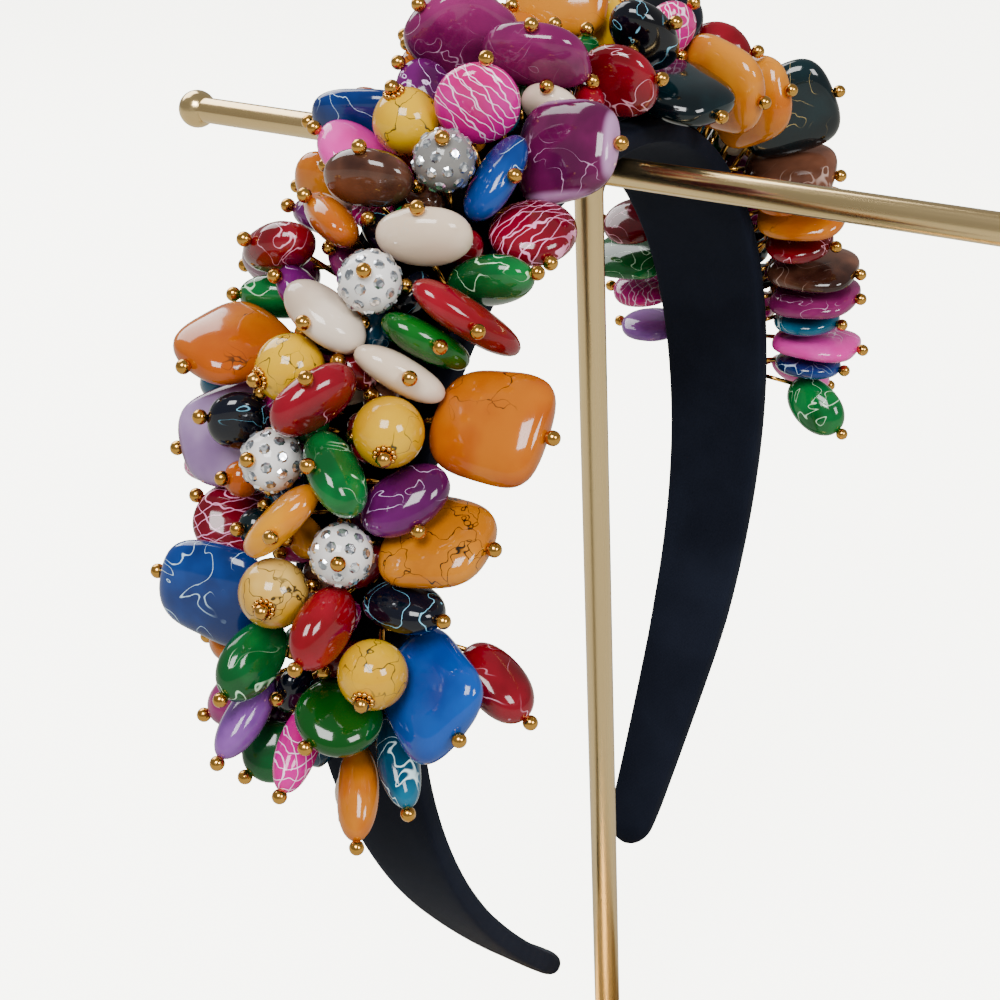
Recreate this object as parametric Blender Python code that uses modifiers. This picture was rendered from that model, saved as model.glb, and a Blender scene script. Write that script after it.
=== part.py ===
# Beaded headband on a T-bar display stand.
# Metres, +Z up. The origin is the middle of the base's underside, below the post.
# The crossbar runs along Y. The headband's arch runs ear to ear, nearly along X:
# leg -1 is the near leg on the -X side, leg +1 is the far leg on the +X side.
# A stone's place is given round the band: its station along the leg, its fan angle
# across the band (0 straight out, + towards +Y) and its reach from the band's outer face.
# Stone shapes are shares of BEAD_SIZE and reaches are shares of STONE_REACH.
import math

import bmesh
import bpy
import numpy as np
from mathutils import Matrix, Vector
from mathutils.bvhtree import BVHTree

# Stand
ROD_DIAMETER = 0.0048
CROSSBAR_LENGTH = 0.1850
END_BALL_DIAMETER = 0.0072
BAR_HEIGHT = 0.2150
BASE_DIAMETER = 0.0960
BASE_THICKNESS = 0.0060
BASE_EDGE_ROUND = 0.0015

# Headband
LEG_LENGTH = 0.1955
BAND_THICKNESS = 0.0040
BAND_CROWN_WIDTH = 0.0330
STRIP_THICKNESS = 0.0012
STRIP_SHARE_OF_WIDTH = 0.80
STRIP_END_STATION = 0.53

# Stones
BEAD_SIZE = 0.0100
STONE_REACH = 0.0180

# Pins and gaps
PIN_DIAMETER = 0.0010
PIN_BALL_DIAMETER = 0.0023
GAP = 0.0003
HANG_GAP = 0.0005
STONE_CLEARANCE = 0.0004
SLOT_PITCH = 0.0026
PIN_BALL_SPACING = 0.0012
SETTLE_MARGIN = 0.0060
LIFT_STEP = 0.0008

# Height of the beading strip's outer face above the band's inner face
STRIP_TOP = BAND_THICKNESS + GAP + STRIP_THICKNESS

# How the headband hangs on the bar
HANG_TILT = math.radians(-7.2)
HANG_TURN = math.radians(5.0)
HANG_SHIFT = 0.0076

# Each leg is a chain of equal arcs from crown to tip, with these turns in degrees
NEAR_LEG_TURNS = (43.5, 31.5, 23.5, 23.0, 10.5)
FAR_LEG_TURNS = (40.0, 40.5, 27.5, 22.5, 4.0)

# Band width from crown to tip, as shares of the crown's width
WIDTH_SHARES = (1.00, 0.73, 0.62, 0.48, 0.25)

SIDES = 10
ROD_SIDES = 16
BASE_SIDES = 32
BAND_STEPS = 20
TIP_STATIONS = (0.982, 0.994, 1.0)
BAND_SIDES = 8
BAND_SQUARENESS = 4.0
STRIP_STEPS = 14
STRIP_SIDES = 6
TIP_SHARE = 0.30
FIELD_SIDES = 7
MAIN_RING_SHARES = (-0.88, -0.42, 0.42, 0.88)
FIELD_RING_SHARES = (-0.80, 0.0, 0.80)
STRIP_SQUARENESS = 3.0
BALL_RING_SHARES = (-0.35, 0.45)
BALL_SEAT = 0.8
END_BALL_STEPS = 6

# Guard balls that keep the stones off the band and the bar while they settle
GUARD_END_STATION = 0.62
GUARD_STATIONS = 105
GUARDS_ACROSS = 9
GUARD_INSET = 0.6
BAR_GUARD_SHARE = 0.65
BAR_GUARDS = 41
OUTLINE_BALLS = 8
FIRST_SLOT_ROW = 0.8
FOOT_SHARE = 0.2
SETTLE_ROUNDS = 300
SETTLE_RENEW = 30
LIFT_TRIES = 16
HALVINGS = 40

# Stone shapes: length along the pin, width and thickness as shares of BEAD_SIZE,
# squareness of the outline and of the edge, and taper of the width towards the outer end
SHAPES = {
    "nugget": dict(length=1.65, width=1.55, thick=0.62, square=3.2, edge=3.0, taper=-0.12),
    "big_nugget": dict(length=1.78, width=1.65, thick=0.66, square=3.4, edge=3.0, taper=0.08),
    "flat_nugget": dict(length=1.20, width=1.68, thick=0.58, square=2.8, edge=3.0, taper=-0.10),
    "slab_nugget": dict(length=1.65, width=1.50, thick=0.44, square=3.0, edge=3.0, taper=0.0),
    "slab_coin": dict(length=1.28, width=1.28, thick=0.42, square=2.0, edge=2.6, taper=0.0),
    "wide_oval": dict(length=0.96, width=1.40, thick=0.64, square=2.1, edge=2.2, taper=0.0),
    "slim_oval": dict(length=0.88, width=1.45, thick=0.52, square=2.2, edge=2.4, taper=0.0),
    "long_oval": dict(length=0.88, width=1.90, thick=0.54, square=2.1, edge=2.2, taper=0.0),
    "tall_oval": dict(length=1.35, width=0.92, thick=0.62, square=2.1, edge=2.2, taper=0.0),
    "drop": dict(length=1.50, width=0.64, thick=0.55, square=2.1, edge=2.1, taper=0.06),
    "coin": dict(length=1.28, width=1.28, thick=0.56, square=2.0, edge=2.4, taper=0.0),
    "small_coin": dict(length=0.95, width=0.95, thick=0.50, square=2.0, edge=2.4, taper=0.0),
    "tiny_coin": dict(length=0.80, width=0.80, thick=0.44, square=2.0, edge=2.4, taper=0.00),
    "round": dict(length=1.02, width=1.02, thick=1.02, square=2.0, edge=2.0, taper=0.0),
    "rhinestone": dict(length=0.90, width=0.90, thick=0.90, square=2.0, edge=2.0, taper=0.0),
}

ROUND_SHAPES = ("round", "rhinestone")

# Finish of each stone: colour, roughness
FINISHES = {
    "plum": ((0.22, 0.02, 0.15), 0.16),
    "hot_pink": ((0.80, 0.03, 0.30), 0.16),
    "orchid": ((0.72, 0.25, 0.50), 0.18),
    "lilac": ((0.55, 0.38, 0.62), 0.18),
    "purple": ((0.20, 0.02, 0.28), 0.14),
    "royal_blue": ((0.01, 0.09, 0.40), 0.14),
    "navy": ((0.01, 0.02, 0.07), 0.12),
    "teal": ((0.00, 0.20, 0.28), 0.14),
    "deep_teal": ((0.01, 0.07, 0.09), 0.14),
    "green": ((0.00, 0.18, 0.05), 0.14),
    "crimson": ((0.42, 0.01, 0.05), 0.14),
    "brown": ((0.12, 0.05, 0.04), 0.16),
    "ochre": ((0.75, 0.35, 0.08), 0.22),
    "tan": ((0.78, 0.45, 0.18), 0.22),
    "amber": ((0.80, 0.38, 0.03), 0.20),
    "yellow": ((0.82, 0.55, 0.05), 0.18),
    "ivory": ((0.78, 0.74, 0.66), 0.22),
    "pave": ((0.70, 0.70, 0.70), 0.45),
}

# Stones with a node of their own, all on the near leg and the crown.
# Columns: name, shape, finish, station, fan, reach, lean towards the tip,
# lean across, spin about the pin. Angles are in degrees.
MAIN_STONES = (
    ("plum_top_nugget", "nugget", "plum", -0.03, 13, 1.06, 35, 5, 127),
    ("plum_flat_nugget", "flat_nugget", "plum", -0.036, -33, 0.9, 20, 15, 109),
    ("hot_pink_coin", "coin", "hot_pink", -0.089, -29, 1.08, -20, 9, 119),
    ("ivory_crown_oval", "small_coin", "ivory", -0.04, -54, 0.86, 30, 35, 98),
    ("plum_rim_nugget", "nugget", "plum", -0.062, -82, 0.86, -5, 3, 39),
    ("blue_leaning_oval", "slim_oval", "royal_blue", -0.114, -55, 0.94, 11, -9, 8),
    ("blue_crown_nugget", "nugget", "royal_blue", -0.083, 57, 1.03, 19, 20, 82),
    ("rhinestone_ball_crown", "rhinestone", "pave", -0.130, -22, 0.97, 0, 0, 0),
    ("brown_oval", "wide_oval", "brown", -0.145, 5, 0.92, -15, -10, 100),
    ("ochre_long_oval", "long_oval", "ochre", -0.166, 18, 0.94, -10, 12, 62),
    ("white_oval", "wide_oval", "ivory", -0.174, -37, 1.03, -18, 26, 109),
    ("crimson_lined_coin", "coin", "crimson", -0.127, -84, 0.94, 42, -6, 159),
    ("green_side_oval", "tall_oval", "green", -0.173, -70, 1.00, -14, -13, 92),
    ("rhinestone_ball_upper", "rhinestone", "pave", -0.210, -24, 0.97, 0, 0, 0),
    ("grey_ivory_oval", "wide_oval", "ivory", -0.229, -2, 0.94, 26, -5, 59),
    ("red_long_oval", "long_oval", "crimson", -0.208, -64, 1.08, 25, 5, 83),
    ("green_slim_oval", "slim_oval", "green", -0.229, -53, 0.89, 10, -6, 83),
    ("white_slim_oval", "slim_oval", "ivory", -0.251, -44, 0.92, 8, -8, 79),
    ("ochre_side_nugget", "nugget", "ochre", -0.256, 34, 1.06, 37, -19, 64),
    ("yellow_ball_upper", "round", "yellow", -0.262, 10, 0.94, 30, 10, 0),
    ("navy_rim_coin", "small_coin", "navy", -0.290, 34, 1.08, 5, 10, 146),
    ("red_lined_oval", "wide_oval", "crimson", -0.271, -9, 1.00, -26, -10, 144),
    ("yellow_ball_middle", "round", "yellow", -0.283, -40, 0.97, 38, 3, 0),
    ("ochre_square_nugget", "big_nugget", "ochre", -0.268, -92, 0.94, -1, -1, 168),
    ("lilac_square_nugget", "nugget", "lilac", -0.322, 60, 1.06, 21, 14, 174),
    ("rhinestone_ball_middle", "rhinestone", "pave", -0.313, 0, 0.97, 0, 0, 0),
    ("green_lined_oval", "wide_oval", "green", -0.311, -24, 1.00, -11, 31, 45),
    ("purple_oval", "wide_oval", "purple", -0.315, -63, 0.94, 38, -6, 143),
    ("crimson_big_coin", "coin", "crimson", -0.360, 58, 1.03, -29, 6, 33),
    ("amber_slim_oval", "slim_oval", "amber", -0.345, -13, 1.00, 15, -13, 139),
    ("rhinestone_ball_lower", "rhinestone", "pave", -0.354, -33, 0.94, 0, 0, 0),
    ("ochre_crackle_nugget", "nugget", "ochre", -0.343, -74, 1.06, -6, -18, 134),
    ("blue_side_nugget", "nugget", "royal_blue", -0.393, 50, 1.06, -12, 25, 175),
    ("cream_yellow_ball", "round", "yellow", -0.383, -10, 0.97, 9, -15, 0),
    ("navy_lined_oval", "tall_oval", "navy", -0.388, -64, 1.00, 1, -18, 103),
    ("red_hanging_oval", "tall_oval", "crimson", -0.401, -26, 1.00, 36, 24, 10),
    ("yellow_ball_lower", "round", "yellow", -0.422, -43, 1.00, 22, 22, 0),
    ("green_hanging_oval", "tall_oval", "green", -0.434, 14, 1.00, 30, -10, 19),
    ("blue_big_nugget", "big_nugget", "royal_blue", -0.444, -78, 1.06, 19, 16, 151),
    ("green_coin", "coin", "green", -0.458, -35, 0.97, 19, 41, 65),
    ("lilac_long_drop", "drop", "lilac", -0.476, 13, 1.00, 32, -13, 107),
    ("magenta_drop", "drop", "hot_pink", -0.485, -2, 0.94, 28, -12, 12),
    ("tan_long_drop", "drop", "tan", -0.519, -37, 0.97, 33, 6, 121),
    ("teal_drop", "drop", "teal", -0.504, -61, 0.92, 34, 17, 53),
)

# Stones of the near field, between and beside the main ones. Same columns without a name.
NEAR_STONES = (
    ("small_coin", "hot_pink", -0.045, -8, 0.83, 37, -20, 123),
    ("round", "yellow", -0.075, 5, 0.83, 0, 0, 0),
    ("small_coin", "royal_blue", -0.020, -100, 0.81, 20, -10, 60),
    ("small_coin", "purple", -0.075, 32, 0.86, 5, 0, 175),
    ("coin", "orchid", -0.118, 38, 0.94, 5, 2, 28),
    ("small_coin", "navy", -0.165, 5, 0.67, 0, 0, 60),
    ("small_coin", "purple", -0.160, 52, 0.89, 5, 5, 70),
    ("wide_oval", "crimson", -0.190, 42, 0.94, 14, -14, 100),
    ("tall_oval", "green", -0.215, 66, 0.94, 15, -8, 99),
    ("tall_oval", "crimson", -0.440, -99, 0.78, 38, 12, 100),
    ("tiny_coin", "ivory", -0.499, -14, 0.83, 12, -4, 23),
    ("wide_oval", "tan", -0.120, 84, 0.97, 0, 5, 100),
    ("coin", "plum", -0.175, 88, 0.97, 5, 5, 95),
    ("wide_oval", "teal", -0.285, 82, 0.97, 5, 5, 90),
    ("coin", "hot_pink", -0.345, 92, 0.97, 5, 5, 95),
    ("wide_oval", "ochre", -0.440, 62, 0.94, 15, 5, 80),
    ("tall_oval", "plum", -0.485, 52, 0.92, 25, 5, 60),
    ("small_coin", "green", -0.510, 22, 0.83, 28, 5, 40),
    ("coin", "teal", -0.010, 48, 0.94, 5, 5, 60),
    ("wide_oval", "ochre", -0.045, 86, 0.92, 5, 5, 90),
    ("coin", "green", -0.235, 92, 0.94, 5, 5, 80),
)

# Stones of the far field that the photograph shows
FAR_STONES = (
    ("flat_nugget", "tan", 0.045, -5, 1.00, 20, 5, 105),
    ("small_coin", "ochre", 0.010, 8, 0.83, 10, 10, 157),
    ("round", "yellow", 0.070, -30, 0.89, 0, 0, 0),
    ("wide_oval", "navy", 0.060, -52, 0.94, 5, -15, 133),
    ("small_coin", "hot_pink", 0.100, -38, 1.00, 20, 5, 155),
    ("coin", "navy", 0.135, -25, 1.00, 35, -5, 93),
    ("coin", "crimson", 0.015, -74, 0.86, 5, -10, 110),
    ("nugget", "deep_teal", 0.075, -79, 1.00, -15, -30, 18),
    ("nugget", "tan", 0.135, -76, 1.00, -11, -28, 119),
    ("coin", "crimson", 0.170, -50, 1.06, 25, -15, 108),
    ("nugget", "tan", 0.200, -62, 1.06, -20, -20, 115),
    ("big_nugget", "deep_teal", 0.250, -62, 1.11, 5, 5, 150),
    ("slab_nugget", "brown", 0.275, -86, 0.98, 10, 5, 80),
    ("slab_coin", "ochre", 0.306, -82, 0.88, 5, 0, 84),
    ("slab_nugget", "tan", 0.336, -80, 0.86, 4, 0, 86),
    ("slab_coin", "crimson", 0.365, -90, 0.78, 0, 0, 84),
    ("slab_nugget", "brown", 0.394, -84, 0.88, 4, 0, 86),
    ("slab_nugget", "plum", 0.420, -84, 0.86, -3, -2, 88),
    ("slab_coin", "teal", 0.446, -90, 0.80, 0, 0, 84),
    ("slab_nugget", "orchid", 0.470, -84, 0.88, 4, 2, 84),
    ("slab_coin", "royal_blue", 0.495, -88, 0.82, 4, 4, 84),
    ("tall_oval", "green", 0.524, -96, 0.80, 34, -5, 150),
    ("wide_oval", "plum", 0.020, 35, 0.97, 10, 5, 70),
    ("coin", "ochre", 0.030, 80, 0.94, 5, 5, 95),
    ("nugget", "green", 0.085, 22, 1.00, 10, 5, 100),
    ("wide_oval", "royal_blue", 0.125, 60, 1.00, 5, 5, 60),
    ("coin", "hot_pink", 0.165, 22, 0.97, 10, 5, 120),
    ("coin", "plum", 0.200, 80, 0.97, 10, 5, 100),
    ("slab_coin", "crimson", 0.362, 96, 0.80, 0, 0, 88),
    ("slab_nugget", "green", 0.400, 96, 0.84, 0, 0, 88),
    ("slab_coin", "hot_pink", 0.438, 98, 0.80, 0, 0, 88),
    ("slab_coin", "lilac", 0.476, 96, 0.80, 0, 0, 88),
)

# What the photograph doesn't show of the far leg is filled by the near leg's stones, mirrored.
FILL_SPACING = 0.0118
FILL_LOWEST_FAN = -75
FILL_FINISHES = ("green", "crimson", "ochre", "royal_blue", "ivory", "plum", "yellow", "teal",
                 "hot_pink", "navy", "tan", "purple", "amber", "orchid")


def clear_scene():
    for old in list(bpy.data.objects):
        bpy.data.objects.remove(old, do_unlink=True)


def collection(name):
    made = bpy.data.collections.new(name)
    bpy.context.scene.collection.children.link(made)
    return made


def material(name, colour, roughness, metallic):
    made = bpy.data.materials.new(name)
    made.use_nodes = True
    shader = made.node_tree.nodes["Principled BSDF"]
    shader.inputs["Base Color"].default_value = (*colour, 1.0)
    shader.inputs["Roughness"].default_value = roughness
    shader.inputs["Metallic"].default_value = metallic
    made.diffuse_color = (*colour, 1.0)
    return made


def smooth_by_angle(mesh, degrees):
    mesh.shade_smooth()
    mesh.set_sharp_from_angle(angle=math.radians(degrees))


def add_object(name, mesh, group, finish):
    made = bpy.data.objects.new(name, mesh)
    group.objects.link(made)
    if finish is not None:
        mesh.materials.clear()
        mesh.materials.append(finish)
    return made


def mesh_of(name, rings):
    """Loft closed rings of equal length, and close both ends; a ring of one point is a pole."""
    build = bmesh.new()
    rows = [[build.verts.new(point) for point in ring] for ring in rings]
    for low, high in zip(rows, rows[1:]):
        count = max(len(low), len(high))
        for i in range(count):
            j = (i + 1) % count
            corners = [low[i % len(low)], low[j % len(low)], high[j % len(high)], high[i % len(high)]]
            build.faces.new(list(dict.fromkeys(corners)))
    if len(rows[0]) > 1:
        build.faces.new(list(reversed(rows[0])))
    if len(rows[-1]) > 1:
        build.faces.new(rows[-1])
    bmesh.ops.triangulate(build, faces=build.faces[:])
    bmesh.ops.recalc_face_normals(build, faces=build.faces[:])
    mesh = bpy.data.meshes.new(name)
    build.to_mesh(mesh)
    build.free()
    return mesh


def leg_point(leg, distance):
    """Inner face point in the arch's plane, and its heading below the horizontal."""
    turns = NEAR_LEG_TURNS if leg < 0 else FAR_LEG_TURNS
    arc = LEG_LENGTH / len(turns)
    x, z, heading, left = 0.0, 0.0, 0.0, distance
    for turn in turns:
        bend = math.radians(turn) / arc
        step = min(left, arc)
        after = heading + bend * step
        x += (math.sin(after) - math.sin(heading)) / bend
        z -= (math.cos(heading) - math.cos(after)) / bend
        heading = after
        left -= step
        if left <= 0.0:
            break
    return x, z, heading


def stone_halves(shape):
    """Half a stone's length along the pin, half its width and half its thickness."""
    return [BEAD_SIZE * SHAPES[shape][key] / 2 for key in ("length", "width", "thick")]


def half_width(station):
    along = abs(station) * (len(WIDTH_SHARES) - 1)
    step = min(int(along), len(WIDTH_SHARES) - 2)
    share = WIDTH_SHARES[step] + (along - step) * (WIDTH_SHARES[step + 1] - WIDTH_SHARES[step])
    return BAND_CROWN_WIDTH * share / 2


def band_axes(station):
    """Inner face point, outward normal and direction to the tip, before the band is hung."""
    leg = -1 if station < 0 else 1
    x, z, heading = leg_point(leg, abs(station) * LEG_LENGTH)
    point = Vector((leg * x, 0.0, z))
    out = Vector((leg * math.sin(heading), 0.0, math.cos(heading)))
    to_tip = Vector((leg * math.cos(heading), 0.0, -math.sin(heading)))
    return point, out, to_tip


def hanging():
    """Place of the headband: tilted and turned, its highest inner point resting on the bar."""
    spin = Matrix.Rotation(HANG_TURN, 4, "Z") @ Matrix.Rotation(HANG_TILT, 4, "Y")
    rest_leg = 1 if HANG_TILT < 0 else -1
    low, high = 0.0, LEG_LENGTH
    for _ in range(HALVINGS):
        middle = (low + high) / 2
        if leg_point(rest_leg, middle)[2] < abs(HANG_TILT):
            low = middle
        else:
            high = middle
    x, z, _ = leg_point(rest_leg, low)
    contact = spin @ Vector((rest_leg * x, 0.0, z))
    seat = Vector((0.0, HANG_SHIFT, BAR_HEIGHT + ROD_DIAMETER / 2 + HANG_GAP))
    return Matrix.Translation(seat - contact) @ spin


HANG = hanging()


def round_ring(centre, side, up, radius_side, radius_up, count, power=2.0):
    ring = []
    for i in range(count):
        turn = 2 * math.pi * i / count
        c, s = math.cos(turn), math.sin(turn)
        a = math.copysign(abs(c) ** (2 / power), c)
        b = math.copysign(abs(s) ** (2 / power), s)
        ring.append(centre + side * (a * radius_side) + up * (b * radius_up))
    return ring


def arch_ring(station, low_lift, thickness, width_share, count, power):
    """Cross-section of a flat strip that follows the arch; the width closes at a rounded tip."""
    point, out, _ = band_axes(station)
    to_tip = (1.0 - abs(station)) * LEG_LENGTH
    half = half_width(station) * width_share
    if to_tip < half:
        half *= max(TIP_SHARE, math.sqrt(1.0 - (1.0 - to_tip / half) ** 2))
    centre = point + out * (low_lift + thickness / 2)
    return round_ring(centre, Vector((0.0, 1.0, 0.0)), out, half, thickness / 2, count, power)


def band_stations():
    """Stations along the whole band, even but for the rounded tips."""
    leg = [i / BAND_STEPS for i in range(1, BAND_STEPS)] + list(TIP_STATIONS)
    return [-station for station in reversed(leg)] + [0.0] + leg


def band_rings():
    return [arch_ring(station, 0.0, BAND_THICKNESS, 1.0, BAND_SIDES, BAND_SQUARENESS)
            for station in band_stations()]


def bar_rings():
    """The crossbar as the hanging headband sees it."""
    ends = [HANG.inverted() @ Vector((0.0, side * CROSSBAR_LENGTH / 2, BAR_HEIGHT)) for side in (-1, 1)]
    side, up, radius = Vector((1.0, 0.0, 0.0)), Vector((0.0, 0.0, 1.0)), ROD_DIAMETER / 2 + GAP
    return [round_ring(end, side, up, radius, radius, ROD_SIDES) for end in ends]


def make_band(group):
    mesh = mesh_of("band", hung(band_rings()))
    smooth_by_angle(mesh, 35)
    add_object("band", mesh, group, material("black_satin", (0.012, 0.013, 0.018), 0.60, 0.0))


def turned_crossbar(group):
    """The crossbar turned from one profile: ball, rod, ball. It is turned upright, then laid along Y."""
    radius = ROD_DIAMETER / 2
    ball = END_BALL_DIAMETER / 2
    neck = math.asin(radius / ball)
    half = []
    for i in range(END_BALL_STEPS + 1):
        turn = (math.pi - neck) * i / END_BALL_STEPS
        half.append((ball * math.sin(turn), CROSSBAR_LENGTH / 2 + ball * math.cos(turn)))
    outline = half + [(across, -along) for across, along in reversed(half)]
    build = bmesh.new()
    points = [build.verts.new((across, 0.0, along)) for across, along in outline]
    for first, second in zip(points, points[1:]):
        build.edges.new((first, second))
    mesh = bpy.data.meshes.new("stand_t_bar")
    build.to_mesh(mesh)
    build.free()
    bar = add_object("stand_t_bar", mesh, group, None)
    screw = bar.modifiers.new("turned", "SCREW")
    screw.steps = ROD_SIDES
    screw.render_steps = ROD_SIDES
    screw.use_merge_vertices = True
    screw.merge_threshold = 0.00001
    bar.location = (0.0, 0.0, BAR_HEIGHT)
    bar.rotation_euler = (math.pi / 2, 0.0, 0.0)
    return bar


def make_stand(group):
    gold = material("polished_gold", (0.80, 0.60, 0.30), 0.22, 1.0)
    bar = turned_crossbar(group)
    foot = BASE_THICKNESS + GAP
    bpy.ops.mesh.primitive_cylinder_add(
        vertices=ROD_SIDES, radius=ROD_DIAMETER / 2, depth=BAR_HEIGHT - foot,
        location=(0.0, 0.0, (BAR_HEIGHT + foot) / 2))
    join_solid(bar, bpy.context.object)
    bar.data.materials.clear()
    bar.data.materials.append(gold)
    smooth_by_angle(bar.data, 40)

    bpy.ops.mesh.primitive_cylinder_add(
        vertices=BASE_SIDES, radius=BASE_DIAMETER / 2, depth=BASE_THICKNESS,
        location=(0.0, 0.0, BASE_THICKNESS / 2))
    base = bpy.context.object
    base.name = "stand_base"
    base.data.name = "stand_base"
    for other in list(base.users_collection):
        other.objects.unlink(base)
    group.objects.link(base)
    rim = base.modifiers.new("rim", "BEVEL")
    rim.width = BASE_EDGE_ROUND
    rim.segments = 2
    rim.limit_method = "ANGLE"
    base.data.materials.clear()
    base.data.materials.append(gold)
    smooth_by_angle(base.data, 40)


def join_solid(keep, other):
    """Union of two meshes into the first one; the second is removed."""
    union = keep.modifiers.new("union", "BOOLEAN")
    union.operation = "UNION"
    union.object = other
    bpy.context.view_layer.update()
    graph = bpy.context.evaluated_depsgraph_get()
    joined = bpy.data.meshes.new_from_object(keep.evaluated_get(graph))
    joined.name = keep.data.name
    keep.modifiers.clear()
    keep.data = joined
    bpy.data.objects.remove(other, do_unlink=True)


def stone_pose(station, fan, reach, lean_tip, lean_across, spin):
    """Middle of a stone and its axes: along the pin, across the stone and through it."""
    point, out, to_tip = band_axes(station)
    across = Vector((0.0, 1.0, 0.0))
    c, s = math.cos(math.radians(fan)), math.sin(math.radians(fan))
    radial = out * c + across * s
    round_band = across * c - out * s
    middle = point + out * BAND_THICKNESS + radial * (reach * STONE_REACH)
    pin = radial + to_tip * math.tan(math.radians(lean_tip))
    pin += round_band * math.tan(math.radians(lean_across))
    pin.normalize()
    first = (to_tip - pin * to_tip.dot(pin)).normalized()
    second = pin.cross(first)
    turn = math.radians(spin)
    wide = first * math.cos(turn) + second * math.sin(turn)
    return middle, pin, wide, pin.cross(wide)


def pin_slots(leg):
    """Places on the beading strip that pins can stand in, in rows across it."""
    slots = []
    rows = int(STRIP_END_STATION * LEG_LENGTH / SLOT_PITCH)
    for row in range(rows):
        station = leg * (row + FIRST_SLOT_ROW) * SLOT_PITCH / LEG_LENGTH
        point, out, _ = band_axes(station)
        limit = half_width(station) * STRIP_SHARE_OF_WIDTH - PIN_DIAMETER
        count = max(2, int(2 * limit / SLOT_PITCH) + 1)
        for i in range(count):
            side = limit * (2 * i / (count - 1) - 1)
            slots.append((point + out * STRIP_TOP + Vector((0.0, side, 0.0)), out))
    return slots


def take_slot(slots, end):
    """The free slot that gives a pin the straightest way to a stone's inner end."""
    best = min(range(len(slots)), key=lambda i: (slots[i][0] - end).length)
    return slots.pop(best)


def stone_balls(shape):
    """Balls that fill a stone, in its own axes: along the pin, across, through."""
    half_l, half_w, half_t = stone_halves(shape)
    balls = [(0.0, 0.0, 0.0, half_t)]
    reach_l, reach_w = half_l - half_t, half_w - half_t
    if max(reach_l, reach_w) > GAP:
        corner = 0.5 ** (1 / SHAPES[shape]["square"])
        for i in range(OUTLINE_BALLS):
            turn = 2 * math.pi * i / OUTLINE_BALLS
            grow = 1.0 if i % 2 == 0 else corner / math.sqrt(0.5)
            balls.append((reach_l * math.cos(turn) * grow, reach_w * math.sin(turn) * grow, 0.0, half_t))
    return balls


class Stone:
    """One stone on its pin, with the balls that keep it clear of the others."""

    def __init__(self, name, shape, finish, row, own_node, slots):
        self.name = name
        self.finish = finish
        self.own_node = own_node
        self.shape = shape
        self.half_length = stone_halves(shape)[0]
        station, fan, reach, lean_tip, lean_across, spin = row
        pose = stone_pose(station, fan, reach, lean_tip, lean_across, spin)
        self.middle, self.pin, self.wide, self.through = pose
        self.foot, self.strip_out = take_slot(slots, self.inner_end())

    def inner_end(self):
        return self.middle - self.pin * self.half_length

    def balls(self):
        """Rows of x, y, z, radius and the share of the stone's move that each ball takes."""
        rows = []
        for along, across, depth, radius in stone_balls(self.shape):
            place = self.middle + self.pin * along + self.wide * across + self.through * depth
            rows.append((*place, radius, 1.0))
        if self.own_node:
            tip = self.middle + self.pin * (self.half_length + BALL_SEAT * PIN_BALL_DIAMETER / 2)
            rows.append((*tip, PIN_BALL_DIAMETER / 2, 1.0))
        run = self.inner_end() - self.foot
        count = max(3, int(run.length / PIN_BALL_SPACING))
        for i in range(count + 1):
            place = self.foot + run * (i / count)
            rows.append((*place, PIN_DIAMETER / 2, i / count))
        return rows


def band_balls():
    """Balls that fill the band, the beading strip and the crossbar."""
    rows = []
    radius = STRIP_TOP / 2
    for station in np.linspace(-GUARD_END_STATION, GUARD_END_STATION, GUARD_STATIONS):
        point, out, _ = band_axes(float(station))
        half = half_width(station) - radius * GUARD_INSET
        for side in np.linspace(-half, half, GUARDS_ACROSS):
            place = point + out * radius + Vector((0.0, float(side), 0.0))
            rows.append((*place, radius, 0.0))
    end = BAR_GUARD_SHARE * CROSSBAR_LENGTH / 2
    for along in np.linspace(-end, end, BAR_GUARDS):
        place = HANG.inverted() @ Vector((0.0, float(along), BAR_HEIGHT))
        rows.append((*place, ROD_DIAMETER / 2 + 2 * GAP, 0.0))
    return rows


def close_pairs(place, radius, owner, own):
    """Pairs of balls of different stones that could meet in the next rounds."""
    away = place[:own, None, :] - place[None, :, :]
    far = np.sqrt((away ** 2).sum(axis=2)) - radius[:own, None] - radius[None, :]
    one, two = np.nonzero((far < SETTLE_MARGIN) & (owner[:own, None] != owner[None, :]))
    once = (two >= own) | (one < two)
    return one[once], two[once]


def settle(movable, fixed_rows):
    """Push the stones apart, a little at a time, until each is clear of all others."""
    rows, owner = [], []
    for index, stone in enumerate(movable):
        found = stone.balls()
        rows += found
        owner += [index] * len(found)
    own = len(rows)
    table = np.array(rows + [(*row[:4], 0.0) for row in fixed_rows])
    owner = np.array(owner + [len(movable)] * len(fixed_rows))
    home, radius, follow = table[:, :3], table[:, 3], table[:, 4]
    moves = np.zeros((len(movable) + 1, 3))
    for turn in range(SETTLE_ROUNDS):
        place = home + moves[owner] * follow[:, None]
        if turn % SETTLE_RENEW == 0:
            one, two = close_pairs(place, radius, owner, own)
        away = place[one] - place[two]
        far = np.sqrt((away ** 2).sum(axis=1)) + 1e-9
        need = radius[one] + radius[two] + STONE_CLEARANCE - far
        need[(follow[one] + follow[two]) < FOOT_SHARE] = 0.0
        hit = need > 0.0
        if not hit.any():
            break
        step = away[hit] / far[hit, None] * need[hit, None]
        fixed = owner[two[hit]] == len(movable)
        step *= np.where(fixed, 1.0, 0.5)[:, None]
        push = np.zeros_like(moves)
        count = np.zeros(len(moves))
        np.add.at(push, owner[one[hit]], step)
        np.add.at(count, owner[one[hit]], 1.0)
        np.add.at(push, owner[two[hit]], -step)
        np.add.at(count, owner[two[hit]], 1.0)
        push[-1] = 0.0
        moves += push / np.sqrt(np.maximum(count, 1.0))[:, None]
    for index, stone in enumerate(movable):
        stone.middle = stone.middle + Vector(moves[index])


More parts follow.
